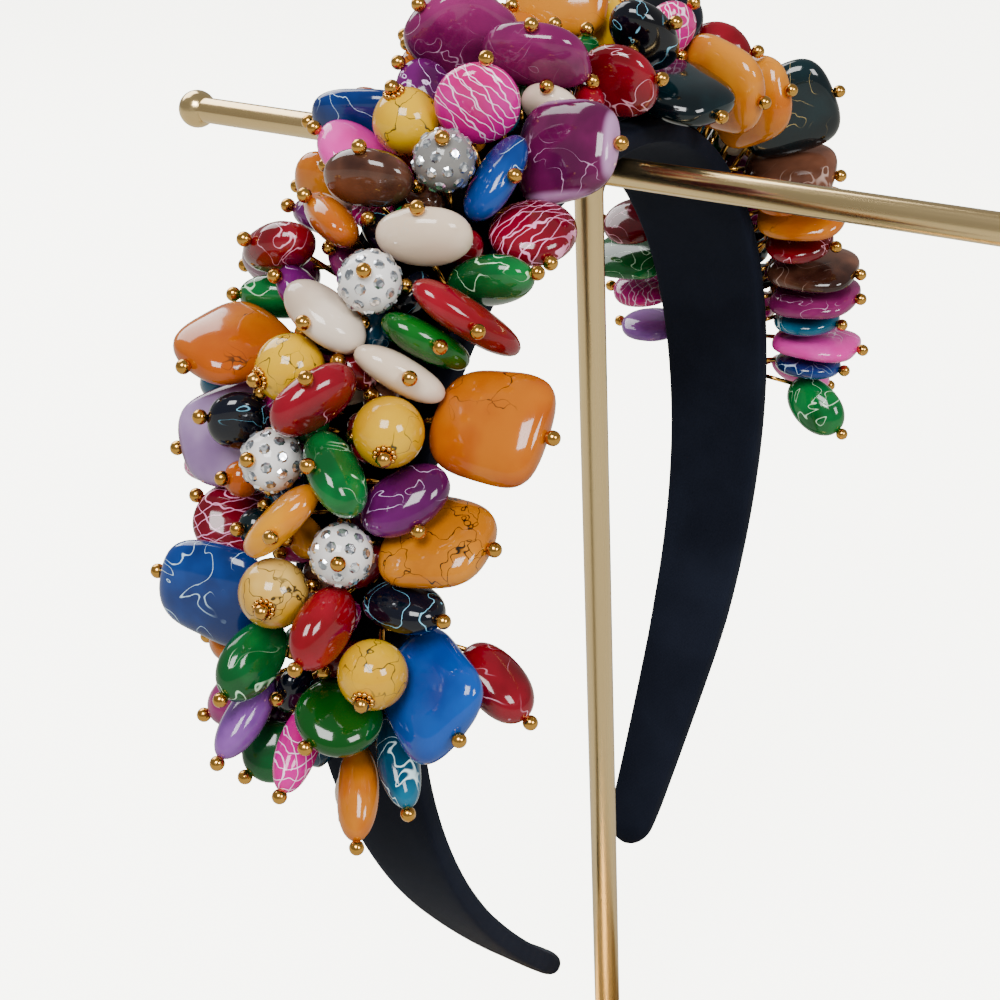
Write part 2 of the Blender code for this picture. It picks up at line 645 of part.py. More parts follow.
def stone_rings(stone):
    """Rings of a stone with its hidden pin below and, on a main stone, its gold ball above."""
    form = SHAPES[stone.shape]
    half_l, half_w, half_t = stone_halves(stone.shape)
    wire = PIN_DIAMETER / 2
    count = SIDES if stone.own_node or stone.shape in ROUND_SHAPES else FIELD_SIDES
    along, across, through = stone.pin, stone.wide, stone.through
    sink = GAP if stone.own_node else -STRIP_THICKNESS / 2
    foot = stone.foot + stone.strip_out * sink
    rings = [round_ring(foot, across, through, wire, wire, count)]
    rings.append(round_ring(stone.inner_end(), across, through, wire, wire, count))
    for share in (MAIN_RING_SHARES if stone.own_node else FIELD_RING_SHARES):
        outline = (1 - abs(share) ** form["square"]) ** (1 / form["square"])
        depth = (1 - abs(share) ** form["edge"]) ** (1 / form["edge"])
        wide = half_w * outline * (1 + form["taper"] * share)
        centre = stone.middle + along * (half_l * share)
        rings.append(round_ring(centre, across, through, wide, half_t * depth, count))
    top = stone.middle + along * half_l
    if not stone.own_node:
        rings.append([top])
        return rings
    rings.append(round_ring(top, across, through, wire, wire, count))
    radius = PIN_BALL_DIAMETER / 2
    centre = top + along * (BALL_SEAT * radius)
    for share in BALL_RING_SHARES:
        around = radius * math.sqrt(1 - share ** 2)
        rings.append(round_ring(centre + along * (radius * share), across, through, around, around, count))
    rings.append([centre + along * radius])
    return rings


def hung(rings):
    return [[HANG @ point for point in ring] for ring in rings]


def all_stones():
    near_slots, far_slots = pin_slots(-1), pin_slots(1)
    main = [Stone(row[0], row[1], row[2], row[3:], True, near_slots) for row in MAIN_STONES]
    near = [Stone("", row[0], row[1], row[2:], False, near_slots) for row in NEAR_STONES]
    far = [Stone("", row[0], row[1], row[2:], False, far_slots) for row in FAR_STONES]
    # The far leg's hidden side: the near leg's stones mirrored, where there is room
    for name, shape, _, station, fan, reach, lean_tip, lean_across, spin in MAIN_STONES:
        middle = stone_pose(-station, fan, reach, lean_tip, lean_across, spin)[0]
        clear = all((s.middle - middle).length > FILL_SPACING for s in main + far)
        if fan > FILL_LOWEST_FAN and clear:
            finish = FILL_FINISHES[len(far) % len(FILL_FINISHES)]
            row = (-station, fan, reach, lean_tip, lean_across, 180 - spin)
            far.append(Stone("", shape, finish, row, False, far_slots))
    return main, near, far


def solid_tree(rings):
    """Search tree of a solid's surface, for the last test of what meets what."""
    mesh = mesh_of("probe", rings)
    points = [vertex.co.copy() for vertex in mesh.vertices]
    faces = [tuple(face.vertices) for face in mesh.polygons]
    bpy.data.meshes.remove(mesh)
    return BVHTree.FromPolygons(points, faces)


def separate(stones, placed):
    """Lift any stone that still meets another, outwards along its pin; give those that are clear."""
    kept = []
    for stone in stones:
        for _ in range(LIFT_TRIES):
            tree = solid_tree(stone_rings(stone))
            if not any(tree.overlap(other) for other in placed):
                placed.append(tree)
                kept.append(stone)
                break
            stone.middle = stone.middle + stone.pin * LIFT_STEP
    return kept


def make_field(name, stones, ends, group, finish):
    """A beading strip with its stones fused to it."""
    stations = [ends[0] + (ends[1] - ends[0]) * i / STRIP_STEPS for i in range(STRIP_STEPS + 1)]
    lift = BAND_THICKNESS + GAP
    rings = [arch_ring(station, lift, STRIP_THICKNESS, STRIP_SHARE_OF_WIDTH, STRIP_SIDES, STRIP_SQUARENESS)
             for station in stations]
    strip = add_object(name, mesh_of(name, hung(rings)), group, None)
    build = bmesh.new()
    for stone in stones:
        mesh = mesh_of("stone", hung(stone_rings(stone)))
        build.from_mesh(mesh)
        bpy.data.meshes.remove(mesh)
    many = bpy.data.meshes.new("stones")
    build.to_mesh(many)
    build.free()
    join_solid(strip, add_object("stones", many, group, None))
    strip.data.materials.clear()
    strip.data.materials.append(finish)
    smooth_by_angle(strip.data, 35)


def make_headband(group):
    make_band(group)
    main, near, far = all_stones()
    settle(main, band_balls())
    placed = [solid_tree(band_rings()), solid_tree(bar_rings())]
    main = separate(main, placed)
    settle(near + far, [row for stone in main for row in stone.balls()] + band_balls())
    near = separate(near, placed)
    far = separate(far, placed)
    for stone in main:
        mesh = mesh_of(stone.name, hung(stone_rings(stone)))
        smooth_by_angle(mesh, 35)
        colour, roughness = FINISHES[stone.finish]
        add_object(stone.name, mesh, group, material(stone.name, colour, roughness, 0.0))
    middle = GAP / LEG_LENGTH
    mixed = material("mixed_stones", (0.35, 0.12, 0.18), 0.18, 0.0)
    make_field("near_bead_field", near, (-STRIP_END_STATION, -middle), group, mixed)
    make_field("far_bead_field", far, (middle, STRIP_END_STATION), group, mixed)


def main():
    clear_scene()
    group = collection("beaded_headband")
    make_stand(group)
    make_headband(group)


main()
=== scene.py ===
import math

import bmesh
import bpy
import numpy as np
from mathutils import Matrix, Vector, noise
from mathutils.bvhtree import BVHTree


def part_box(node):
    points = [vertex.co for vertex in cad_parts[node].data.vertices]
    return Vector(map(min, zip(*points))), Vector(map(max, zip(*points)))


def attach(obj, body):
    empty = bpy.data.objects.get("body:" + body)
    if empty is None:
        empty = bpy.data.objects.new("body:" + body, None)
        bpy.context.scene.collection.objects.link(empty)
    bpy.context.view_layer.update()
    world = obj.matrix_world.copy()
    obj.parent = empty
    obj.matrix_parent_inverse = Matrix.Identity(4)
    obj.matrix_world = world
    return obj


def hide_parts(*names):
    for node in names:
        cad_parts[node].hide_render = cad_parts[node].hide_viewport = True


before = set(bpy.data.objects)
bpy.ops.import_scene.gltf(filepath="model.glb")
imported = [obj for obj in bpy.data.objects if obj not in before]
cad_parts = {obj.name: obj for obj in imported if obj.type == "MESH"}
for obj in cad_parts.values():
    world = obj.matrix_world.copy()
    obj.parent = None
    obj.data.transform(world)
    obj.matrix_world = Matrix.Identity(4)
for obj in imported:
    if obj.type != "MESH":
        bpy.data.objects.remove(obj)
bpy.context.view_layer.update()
print("frame loaded:", len(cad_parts), "solids")

# Camera, standing where the photo was taken, in metres and degrees
camera = {
    "place": (-0.24029, -0.17860, 0.29089),
    "heading": 49.0,
    "lookDown": 22.89,
    "roll": -3.01,
    "lens": 67.85,
    "sensor": 36.0,
    "shift": (0.038, -0.0396),
    "nearest": 0.01,
}


def linkObject(name, data):
    made = bpy.data.objects.new(name, data)
    bpy.context.scene.collection.objects.link(made)
    return made


def addCamera():
    heading, down = math.radians(camera["heading"]), math.radians(camera["lookDown"])
    level = math.cos(down)
    ahead = Vector((math.sin(heading) * level, math.cos(heading) * level, -math.sin(down)))
    right = Vector((math.cos(heading), -math.sin(heading), 0.0))
    up = right.cross(ahead)
    roll = math.radians(camera["roll"])
    rolledRight = right * math.cos(roll) + up * math.sin(roll)
    rolledUp = up * math.cos(roll) - right * math.sin(roll)
    data = bpy.data.cameras.new("photoCamera")
    data.lens = camera["lens"]
    data.sensor_width = camera["sensor"]
    data.shift_x, data.shift_y = camera["shift"]
    data.clip_start = camera["nearest"]
    made = linkObject("photoCamera", data)
    made.matrix_world = Matrix((
        (rolledRight.x, rolledUp.x, -ahead.x, camera["place"][0]),
        (rolledRight.y, rolledUp.y, -ahead.y, camera["place"][1]),
        (rolledRight.z, rolledUp.z, -ahead.z, camera["place"][2]),
        (0.0, 0.0, 0.0, 1.0)))
    bpy.context.scene.camera = made


# Sizes of the stand and the headband, the same as the solids', in metres
stand = {"rod": 0.0048, "barLength": 0.1850, "endBall": 0.0072, "barHeight": 0.2150,
         "baseWidth": 0.0960, "baseThick": 0.0060, "baseEdge": 0.0015, "solder": 0.0012}
band = {"leg": 0.1955, "thick": 0.0040, "crownWidth": 0.0330, "widths": (1.00, 0.73, 0.62, 0.48, 0.25),
        "nearTurns": (43.5, 31.5, 23.5, 23.0, 10.5), "farTurns": (40.0, 40.5, 27.5, 22.5, 4.0),
        "tilt": -7.2, "turn": 5.0, "shift": 0.0076, "hangGap": 0.0005, "tipShare": 0.30,
        "tipStations": (0.982, 0.994, 1.0), "solidSteps": 20, "solidSides": 8, "square": 4.0}
strip = {"thick": 0.0012, "share": 0.80, "end": 0.53, "slotPitch": 0.0026, "firstRow": 0.8}
pins = {"wire": 0.0010, "ball": 0.0023, "gap": 0.0003, "ballSpacing": 0.0012, "ballSeat": 0.8}
settling = {"clearance": 0.0004, "margin": 0.0060, "rounds": 300, "renew": 30, "footShare": 0.2,
            "guardEnd": 0.62, "guards": 105, "guardsAcross": 9, "guardInset": 0.6,
            "barGuardShare": 0.65, "barGuards": 41, "outlineBalls": 8,
            "liftStep": 0.0008, "liftTries": 16, "fillSpacing": 0.0118, "fillLowestFan": -75}
solids = {"mainSides": 10, "fieldSides": 7, "rodSides": 16, "mainRings": (-0.88, -0.42, 0.42, 0.88),
          "fieldRings": (-0.80, 0.0, 0.80), "ballRings": (-0.35, 0.45)}
beadSize = 0.0100
stoneReach = 0.0180
roundKinds = ("round", "rhinestone")
stripTop = band["thick"] + pins["gap"] + strip["thick"]

# Kinds of stones: length along the pin, width and thickness as shares of beadSize, then
# squareness of the outline and of the edge, and taper
shapeRows = {
    "nugget": (1.65, 1.55, 0.62, 3.2, 3.0, -0.12),
    "big_nugget": (1.78, 1.65, 0.66, 3.4, 3.0, 0.08),
    "flat_nugget": (1.20, 1.68, 0.58, 2.8, 3.0, -0.10),
    "slab_nugget": (1.65, 1.50, 0.44, 3.0, 3.0, 0.0),
    "slab_coin": (1.28, 1.28, 0.42, 2.0, 2.6, 0.0),
    "wide_oval": (0.96, 1.40, 0.64, 2.1, 2.2, 0.0),
    "slim_oval": (0.88, 1.45, 0.52, 2.2, 2.4, 0.0),
    "long_oval": (0.88, 1.90, 0.54, 2.1, 2.2, 0.0),
    "tall_oval": (1.35, 0.92, 0.62, 2.1, 2.2, 0.0),
    "drop": (1.50, 0.64, 0.55, 2.1, 2.1, 0.06),
    "coin": (1.28, 1.28, 0.56, 2.0, 2.4, 0.0),
    "small_coin": (0.95, 0.95, 0.50, 2.0, 2.4, 0.0),
    "tiny_coin": (0.80, 0.80, 0.44, 2.0, 2.4, 0.00),
    "round": (1.02, 1.02, 1.02, 2.0, 2.0, 0.0),
    "rhinestone": (0.90, 0.90, 0.90, 2.0, 2.0, 0.0),
    "chip": (0.62, 0.74, 0.42, 2.8, 2.8, 0.10),
    "pebble": (0.56, 0.56, 0.50, 2.2, 2.2, 0.0),
}
shapeWords = ("length", "width", "thick", "square", "edge", "taper")
shapes = {kind: dict(zip(shapeWords, row)) for kind, row in shapeRows.items()}

# Stones with a solid of their own: name, kind, finish, station along the leg, fan across the band,
# reach as a share of stoneReach, lean to the tip, lean across, spin about the pin, in degrees.
mainStones = (
    ("plum_top_nugget", "nugget", "plum", -0.03, 13, 1.06, 35, 5, 127),
    ("plum_flat_nugget", "flat_nugget", "plum", -0.036, -33, 0.9, 20, 15, 109),
    ("hot_pink_coin", "coin", "hot_pink", -0.089, -29, 1.08, -20, 9, 119),
    ("ivory_crown_oval", "small_coin", "ivory", -0.04, -54, 0.86, 30, 35, 98),
    ("plum_rim_nugget", "nugget", "plum", -0.062, -82, 0.86, -5, 3, 39),
    ("blue_leaning_oval", "slim_oval", "royal_blue", -0.114, -55, 0.94, 11, -9, 8),
    ("blue_crown_nugget", "nugget", "royal_blue", -0.083, 57, 1.03, 19, 20, 82),
    ("rhinestone_ball_crown", "rhinestone", "pave", -0.130, -22, 0.97, 0, 0, 0),
    ("brown_oval", "wide_oval", "brown", -0.145, 5, 0.92, -15, -10, 100),
    ("ochre_long_oval", "long_oval", "ochre", -0.166, 18, 0.94, -10, 12, 62),
    ("white_oval", "wide_oval", "ivory", -0.174, -37, 1.03, -18, 26, 109),
    ("crimson_lined_coin", "coin", "crimson", -0.127, -84, 0.94, 42, -6, 159),
    ("green_side_oval", "tall_oval", "green", -0.173, -70, 1.00, -14, -13, 92),
    ("rhinestone_ball_upper", "rhinestone", "pave", -0.210, -24, 0.97, 0, 0, 0),
    ("grey_ivory_oval", "wide_oval", "ivory", -0.229, -2, 0.94, 26, -5, 59),
    ("red_long_oval", "long_oval", "crimson", -0.208, -64, 1.08, 25, 5, 83),
    ("green_slim_oval", "slim_oval", "green", -0.229, -53, 0.89, 10, -6, 83),
    ("white_slim_oval", "slim_oval", "ivory", -0.251, -44, 0.92, 8, -8, 79),
    ("ochre_side_nugget", "nugget", "ochre", -0.256, 34, 1.06, 37, -19, 64),
    ("yellow_ball_upper", "round", "yellow", -0.262, 10, 0.94, 30, 10, 0),
    ("navy_rim_coin", "small_coin", "navy", -0.290, 34, 1.08, 5, 10, 146),
    ("red_lined_oval", "wide_oval", "crimson", -0.271, -9, 1.00, -26, -10, 144),
    ("yellow_ball_middle", "round", "yellow", -0.283, -40, 0.97, 38, 3, 0),
    ("ochre_square_nugget", "big_nugget", "ochre", -0.268, -92, 0.94, -1, -1, 168),
    ("lilac_square_nugget", "nugget", "lilac", -0.322, 60, 1.06, 21, 14, 174),
    ("rhinestone_ball_middle", "rhinestone", "pave", -0.313, 0, 0.97, 0, 0, 0),
    ("green_lined_oval", "wide_oval", "green", -0.311, -24, 1.00, -11, 31, 45),
    ("purple_oval", "wide_oval", "purple", -0.315, -63, 0.94, 38, -6, 143),
    ("crimson_big_coin", "coin", "crimson", -0.360, 58, 1.03, -29, 6, 33),
    ("amber_slim_oval", "slim_oval", "amber", -0.345, -13, 1.00, 15, -13, 139),
    ("rhinestone_ball_lower", "rhinestone", "pave", -0.354, -33, 0.94, 0, 0, 0),
    ("ochre_crackle_nugget", "nugget", "ochre", -0.343, -74, 1.06, -6, -18, 134),
    ("blue_side_nugget", "nugget", "royal_blue", -0.393, 50, 1.06, -12, 25, 175),
    ("cream_yellow_ball", "round", "yellow", -0.383, -10, 0.97, 9, -15, 0),
    ("navy_lined_oval", "tall_oval", "navy", -0.388, -64, 1.00, 1, -18, 103),
    ("red_hanging_oval", "tall_oval", "crimson", -0.401, -26, 1.00, 36, 24, 10),
    ("yellow_ball_lower", "round", "yellow", -0.422, -43, 1.00, 22, 22, 0),
    ("green_hanging_oval", "tall_oval", "green", -0.434, 14, 1.00, 30, -10, 19),
    ("blue_big_nugget", "big_nugget", "royal_blue", -0.444, -78, 1.06, 19, 16, 151),
    ("green_coin", "coin", "green", -0.458, -35, 0.97, 19, 41, 65),
    ("lilac_long_drop", "drop", "lilac", -0.476, 13, 1.00, 32, -13, 107),
    ("magenta_drop", "drop", "hot_pink", -0.485, -2, 0.94, 28, -12, 12),
    ("tan_long_drop", "drop", "tan", -0.519, -37, 0.97, 33, 6, 121),
    ("teal_drop", "drop", "teal", -0.504, -61, 0.92, 34, 17, 53),
)

# The near field's stones, between and beside the main ones
nearStones = (
    ("small_coin", "hot_pink", -0.045, -8, 0.83, 37, -20, 123),
    ("round", "yellow", -0.075, 5, 0.83, 0, 0, 0),
    ("small_coin", "royal_blue", -0.020, -100, 0.81, 20, -10, 60),
    ("small_coin", "purple", -0.075, 32, 0.86, 5, 0, 175),
    ("coin", "orchid", -0.118, 38, 0.94, 5, 2, 28),
    ("small_coin", "navy", -0.165, 5, 0.67, 0, 0, 60),
    ("small_coin", "purple", -0.160, 52, 0.89, 5, 5, 70),
    ("wide_oval", "crimson", -0.190, 42, 0.94, 14, -14, 100),
    ("tall_oval", "green", -0.215, 66, 0.94, 15, -8, 99),
    ("tall_oval", "crimson", -0.440, -99, 0.78, 38, 12, 100),
    ("tiny_coin", "ivory", -0.499, -14, 0.83, 12, -4, 23),
    ("wide_oval", "tan", -0.120, 84, 0.97, 0, 5, 100),
    ("coin", "plum", -0.175, 88, 0.97, 5, 5, 95),
    ("wide_oval", "teal", -0.285, 82, 0.97, 5, 5, 90),
    ("coin", "hot_pink", -0.345, 92, 0.97, 5, 5, 95),
    ("wide_oval", "ochre", -0.440, 62, 0.94, 15, 5, 80),
    ("tall_oval", "plum", -0.485, 52, 0.92, 25, 5, 60),
    ("small_coin", "green", -0.510, 22, 0.83, 28, 5, 40),
    ("coin", "teal", -0.010, 48, 0.94, 5, 5, 60),
    ("wide_oval", "ochre", -0.045, 86, 0.92, 5, 5, 90),
    ("coin", "green", -0.235, 92, 0.94, 5, 5, 80),
)

# The far field's stones
farStones = (
    ("flat_nugget", "tan", 0.045, -5, 1.00, 20, 5, 105),
    ("small_coin", "ochre", 0.010, 8, 0.83, 10, 10, 157),
    ("round", "yellow", 0.070, -30, 0.89, 0, 0, 0),
    ("wide_oval", "navy", 0.060, -52, 0.94, 5, -15, 133),
    ("small_coin", "hot_pink", 0.100, -38, 1.00, 20, 5, 155),
    ("coin", "navy", 0.135, -25, 1.00, 35, -5, 93),
    ("coin", "crimson", 0.015, -74, 0.86, 5, -10, 110),
    ("nugget", "deep_teal", 0.075, -79, 1.00, -15, -30, 18),
    ("nugget", "tan", 0.135, -76, 1.00, -11, -28, 119),
    ("coin", "crimson", 0.170, -50, 1.06, 25, -15, 108),
    ("nugget", "tan", 0.200, -62, 1.06, -20, -20, 115),
    ("big_nugget", "deep_teal", 0.250, -62, 1.11, 5, 5, 150),
    ("slab_nugget", "brown", 0.275, -86, 0.98, 10, 5, 80),
    ("slab_coin", "ochre", 0.306, -82, 0.88, 5, 0, 84),
    ("slab_nugget", "tan", 0.336, -80, 0.86, 4, 0, 86),
    ("slab_coin", "crimson", 0.365, -90, 0.78, 0, 0, 84),
    ("slab_nugget", "brown", 0.394, -84, 0.88, 4, 0, 86),
    ("slab_nugget", "plum", 0.420, -84, 0.86, -3, -2, 88),
    ("slab_coin", "teal", 0.446, -90, 0.80, 0, 0, 84),
    ("slab_nugget", "orchid", 0.470, -84, 0.88, 4, 2, 84),
    ("slab_coin", "royal_blue", 0.495, -88, 0.82, 4, 4, 84),
    ("tall_oval", "green", 0.524, -96, 0.80, 34, -5, 150),
    ("wide_oval", "plum", 0.020, 35, 0.97, 10, 5, 70),
    ("coin", "ochre", 0.030, 80, 0.94, 5, 5, 95),
    ("nugget", "green", 0.085, 22, 1.00, 10, 5, 100),
    ("wide_oval", "royal_blue", 0.125, 60, 1.00, 5, 5, 60),
    ("coin", "hot_pink", 0.165, 22, 0.97, 10, 5, 120),
    ("coin", "plum", 0.200, 80, 0.97, 10, 5, 100),
    ("slab_coin", "crimson", 0.362, 96, 0.80, 0, 0, 88),
    ("slab_nugget", "green", 0.400, 96, 0.84, 0, 0, 88),
    ("slab_coin", "hot_pink", 0.438, 98, 0.80, 0, 0, 88),
    ("slab_coin", "lilac", 0.476, 96, 0.80, 0, 0, 88),
)

fillFinishes = ("green", "crimson", "ochre", "royal_blue", "ivory", "plum", "yellow", "teal",
                "hot_pink", "navy", "tan", "purple", "amber", "orchid")


def legPoint(leg, distance):
    turns = band["nearTurns"] if leg < 0 else band["farTurns"]
    arc = band["leg"] / len(turns)
    x, z, heading, left = 0.0, 0.0, 0.0, distance
    for turn in turns:
        bend = math.radians(turn) / arc
        step = min(left, arc)
        after = heading + bend * step
        x += (math.sin(after) - math.sin(heading)) / bend
        z -= (math.cos(heading) - math.cos(after)) / bend
        heading = after
        left -= step
        if left <= 0.0:
            break
    return x, z, heading


def halfWidth(station):
    shares = band["widths"]
    along = abs(station) * (len(shares) - 1)
    step = min(int(along), len(shares) - 2)
    share = shares[step] + (along - step) * (shares[step + 1] - shares[step])
    return band["crownWidth"] * share / 2


def bandAxes(station):  # inner face point, outward direction, direction to the tip
    leg = -1 if station < 0 else 1
    x, z, heading = legPoint(leg, abs(station) * band["leg"])
    point = Vector((leg * x, 0.0, z))
    out = Vector((leg * math.sin(heading), 0.0, math.cos(heading)))
    toTip = Vector((leg * math.cos(heading), 0.0, -math.sin(heading)))
    return point, out, toTip


def hanging():
    tilt = math.radians(band["tilt"])
    spin = Matrix.Rotation(math.radians(band["turn"]), 4, "Z") @ Matrix.Rotation(tilt, 4, "Y")
    restLeg = 1 if tilt < 0 else -1
    low, high = 0.0, band["leg"]
    for _ in range(40):  # halvings
        middle = (low + high) / 2
        if legPoint(restLeg, middle)[2] < abs(tilt):
            low = middle
        else:
            high = middle
    x, z, _ = legPoint(restLeg, low)
    contact = spin @ Vector((restLeg * x, 0.0, z))
    seat = Vector((0.0, band["shift"], stand["barHeight"] + stand["rod"] / 2 + band["hangGap"]))
    return Matrix.Translation(seat - contact) @ spin


hang = hanging()


def roundRing(centre, side, up, radiusSide, radiusUp, count, power=2.0):
    ring = []
    for i in range(count):
        turn = 2 * math.pi * i / count
        c, s = math.cos(turn), math.sin(turn)
        a = math.copysign(abs(c) ** (2 / power), c)
        b = math.copysign(abs(s) ** (2 / power), s)
        ring.append(centre + side * (a * radiusSide) + up * (b * radiusUp))
    return ring


def archRing(station, lift, thick, share, count, power, least=band["tipShare"]):
    point, out, _ = bandAxes(station)
    toTip = (1.0 - abs(station)) * band["leg"]
    half = halfWidth(station) * share
    if toTip < half:
        half *= max(least, math.sqrt(1.0 - (1.0 - toTip / half) ** 2))
    centre = point + out * (lift + thick / 2)
    return roundRing(centre, Vector((0.0, 1.0, 0.0)), out, half, thick / 2, count, power)


def stonePose(station, fan, reach, leanTip, leanAcross, spin):
    point, out, toTip = bandAxes(station)
    across = Vector((0.0, 1.0, 0.0))
    c, s = math.cos(math.radians(fan)), math.sin(math.radians(fan))
    radial = out * c + across * s
    roundBand = across * c - out * s
    middle = point + out * band["thick"] + radial * (reach * stoneReach)
    pin = radial + toTip * math.tan(math.radians(leanTip))
    pin += roundBand * math.tan(math.radians(leanAcross))
    pin.normalize()
    first = (toTip - pin * toTip.dot(pin)).normalized()
    second = pin.cross(first)
    turn = math.radians(spin)
    wide = first * math.cos(turn) + second * math.sin(turn)
    return middle, pin, wide, pin.cross(wide)


def pinSlots(leg):  # holes of the beading strip that pins stand in
    slots = []
    for row in range(int(strip["end"] * band["leg"] / strip["slotPitch"])):
        station = leg * (row + strip["firstRow"]) * strip["slotPitch"] / band["leg"]
        point, out, _ = bandAxes(station)
        limit = halfWidth(station) * strip["share"] - pins["wire"]
        count = max(2, int(2 * limit / strip["slotPitch"]) + 1)
        for i in range(count):
            side = limit * (2 * i / (count - 1) - 1)
            slots.append((point + out * stripTop + Vector((0.0, side, 0.0)), out))
    return slots


def takeSlot(slots, end):
    best = min(range(len(slots)), key=lambda i: (slots[i][0] - end).length)
    return slots.pop(best)


def stoneHalves(shape):
    return [beadSize * shapes[shape][key] / 2 for key in ("length", "width", "thick")]


def stoneBalls(shape):  # balls that fill a stone, in its own axes
    halfLength, halfAcross, halfThick = stoneHalves(shape)
    balls = [(0.0, 0.0, 0.0, halfThick)]
    reachLength, reachAcross = halfLength - halfThick, halfAcross - halfThick
    if max(reachLength, reachAcross) > pins["gap"]:
        corner = 0.5 ** (1 / shapes[shape]["square"])
        for i in range(settling["outlineBalls"]):
            turn = 2 * math.pi * i / settling["outlineBalls"]
            grow = 1.0 if i % 2 == 0 else corner / math.sqrt(0.5)
            along, across = reachLength * math.cos(turn) * grow, reachAcross * math.sin(turn) * grow
            balls.append((along, across, 0.0, halfThick))
    return balls


class Stone:
    def __init__(self, name, shape, finish, row, ownNode, slots):
        self.name, self.shape, self.finish, self.ownNode = name, shape, finish, ownNode
        self.form, self.half = shapes[shape], stoneHalves(shape)
        self.middle, self.pin, self.wide, self.through = stonePose(*row)
        self.foot, self.stripOut = takeSlot(slots, self.innerEnd())

    def innerEnd(self):
        return self.middle - self.pin * self.half[0]

    def balls(self):
        rows = []
        for along, across, depth, radius in stoneBalls(self.shape):
            place = self.middle + self.pin * along + self.wide * across + self.through * depth
            rows.append((*place, radius, 1.0))
        if self.ownNode:
            tip = self.middle + self.pin * (self.half[0] + pins["ballSeat"] * pins["ball"] / 2)
            rows.append((*tip, pins["ball"] / 2, 1.0))
        run = self.innerEnd() - self.foot
        count = max(3, int(run.length / pins["ballSpacing"]))
        for i in range(count + 1):
            place = self.foot + run * (i / count)
            rows.append((*place, pins["wire"] / 2, i / count))
        return rows


fillStones = {"kinds": ("chip", "tiny_coin", "chip", "pebble"), "reaches": (0.66, 0.54, 0.42, 0.32),
              "leanOut": 0.40, "most": 75, "turn": 2.4,
              "finishes": ("crimson", "green", "plum", "navy", "royal_blue", "ochre", "purple", "teal",
                           "amber", "deep_teal", "crimson", "orchid", "brown", "ivory", "hot_pink")}


class FillStone(Stone):  # a small stone low down on a pin of its own
    def __init__(self, index, foot, out, reach):
        self.name, self.ownNode = "", False
        self.shape = fillStones["kinds"][index % len(fillStones["kinds"])]
        self.finish = fillStones["finishes"][index % len(fillStones["finishes"])]
        self.form, self.half = shapes[self.shape], stoneHalves(self.shape)
        self.foot, self.stripOut = foot, out
        across = Vector((0.0, 1.0, 0.0))
        lean = fillStones["leanOut"] * foot.y / (band["crownWidth"] * strip["share"] / 2)
        self.pin = (out + across * lean).normalized()
        self.middle = foot + self.pin * (reach * stoneReach)
        side = self.pin.orthogonal().normalized()
        turn = fillStones["turn"] * index  # each is turned on from the last by about the golden angle
        self.wide = side * math.cos(turn) + self.pin.cross(side) * math.sin(turn)
        self.through = self.pin.cross(self.wide)


def bandBalls():
    rows = []
    radius = stripTop / 2
    for station in np.linspace(-settling["guardEnd"], settling["guardEnd"], settling["guards"]):
        point, out, _ = bandAxes(float(station))
        half = halfWidth(station) - radius * settling["guardInset"]
        for side in np.linspace(-half, half, settling["guardsAcross"]):
            rows.append((*(point + out * radius + Vector((0.0, float(side), 0.0))), radius, 0.0))
    end = settling["barGuardShare"] * stand["barLength"] / 2
    for along in np.linspace(-end, end, settling["barGuards"]):
        place = hang.inverted() @ Vector((0.0, float(along), stand["barHeight"]))
        rows.append((*place, stand["rod"] / 2 + 2 * pins["gap"], 0.0))
    return rows


def closePairs(place, radius, owner, own):
    away = place[:own, None, :] - place[None, :, :]
    far = np.sqrt((away ** 2).sum(axis=2)) - radius[:own, None] - radius[None, :]
    one, two = np.nonzero((far < settling["margin"]) & (owner[:own, None] != owner[None, :]))
    once = (two >= own) | (one < two)
    return one[once], two[once]


def settle(movable, fixedRows):  # pushes the stones apart until each is clear of the others
    rows, owner = [], []
    for index, stone in enumerate(movable):
        found = stone.balls()
        rows += found
        owner += [index] * len(found)
    own = len(rows)
    table = np.array(rows + [(*row[:4], 0.0) for row in fixedRows])
    owner = np.array(owner + [len(movable)] * len(fixedRows))
    home, radius, follow = table[:, :3], table[:, 3], table[:, 4]
    moves = np.zeros((len(movable) + 1, 3))
    for turn in range(settling["rounds"]):
        place = home + moves[owner] * follow[:, None]
        if turn % settling["renew"] == 0:
            one, two = closePairs(place, radius, owner, own)
        away = place[one] - place[two]
        far = np.sqrt((away ** 2).sum(axis=1)) + 1e-9
        need = radius[one] + radius[two] + settling["clearance"] - far
        need[(follow[one] + follow[two]) < settling["footShare"]] = 0.0
        hit = need > 0.0
        if not hit.any():
            break
        step = away[hit] / far[hit, None] * need[hit, None]
        fixed = owner[two[hit]] == len(movable)
        step *= np.where(fixed, 1.0, 0.5)[:, None]
        push = np.zeros_like(moves)
        count = np.zeros(len(moves))
        np.add.at(push, owner[one[hit]], step)
        np.add.at(count, owner[one[hit]], 1.0)
        np.add.at(push, owner[two[hit]], -step)
        np.add.at(count, owner[two[hit]], 1.0)
        push[-1] = 0.0
        moves += push / np.sqrt(np.maximum(count, 1.0))[:, None]
    for index, stone in enumerate(movable):
        stone.middle = stone.middle + Vector(moves[index])


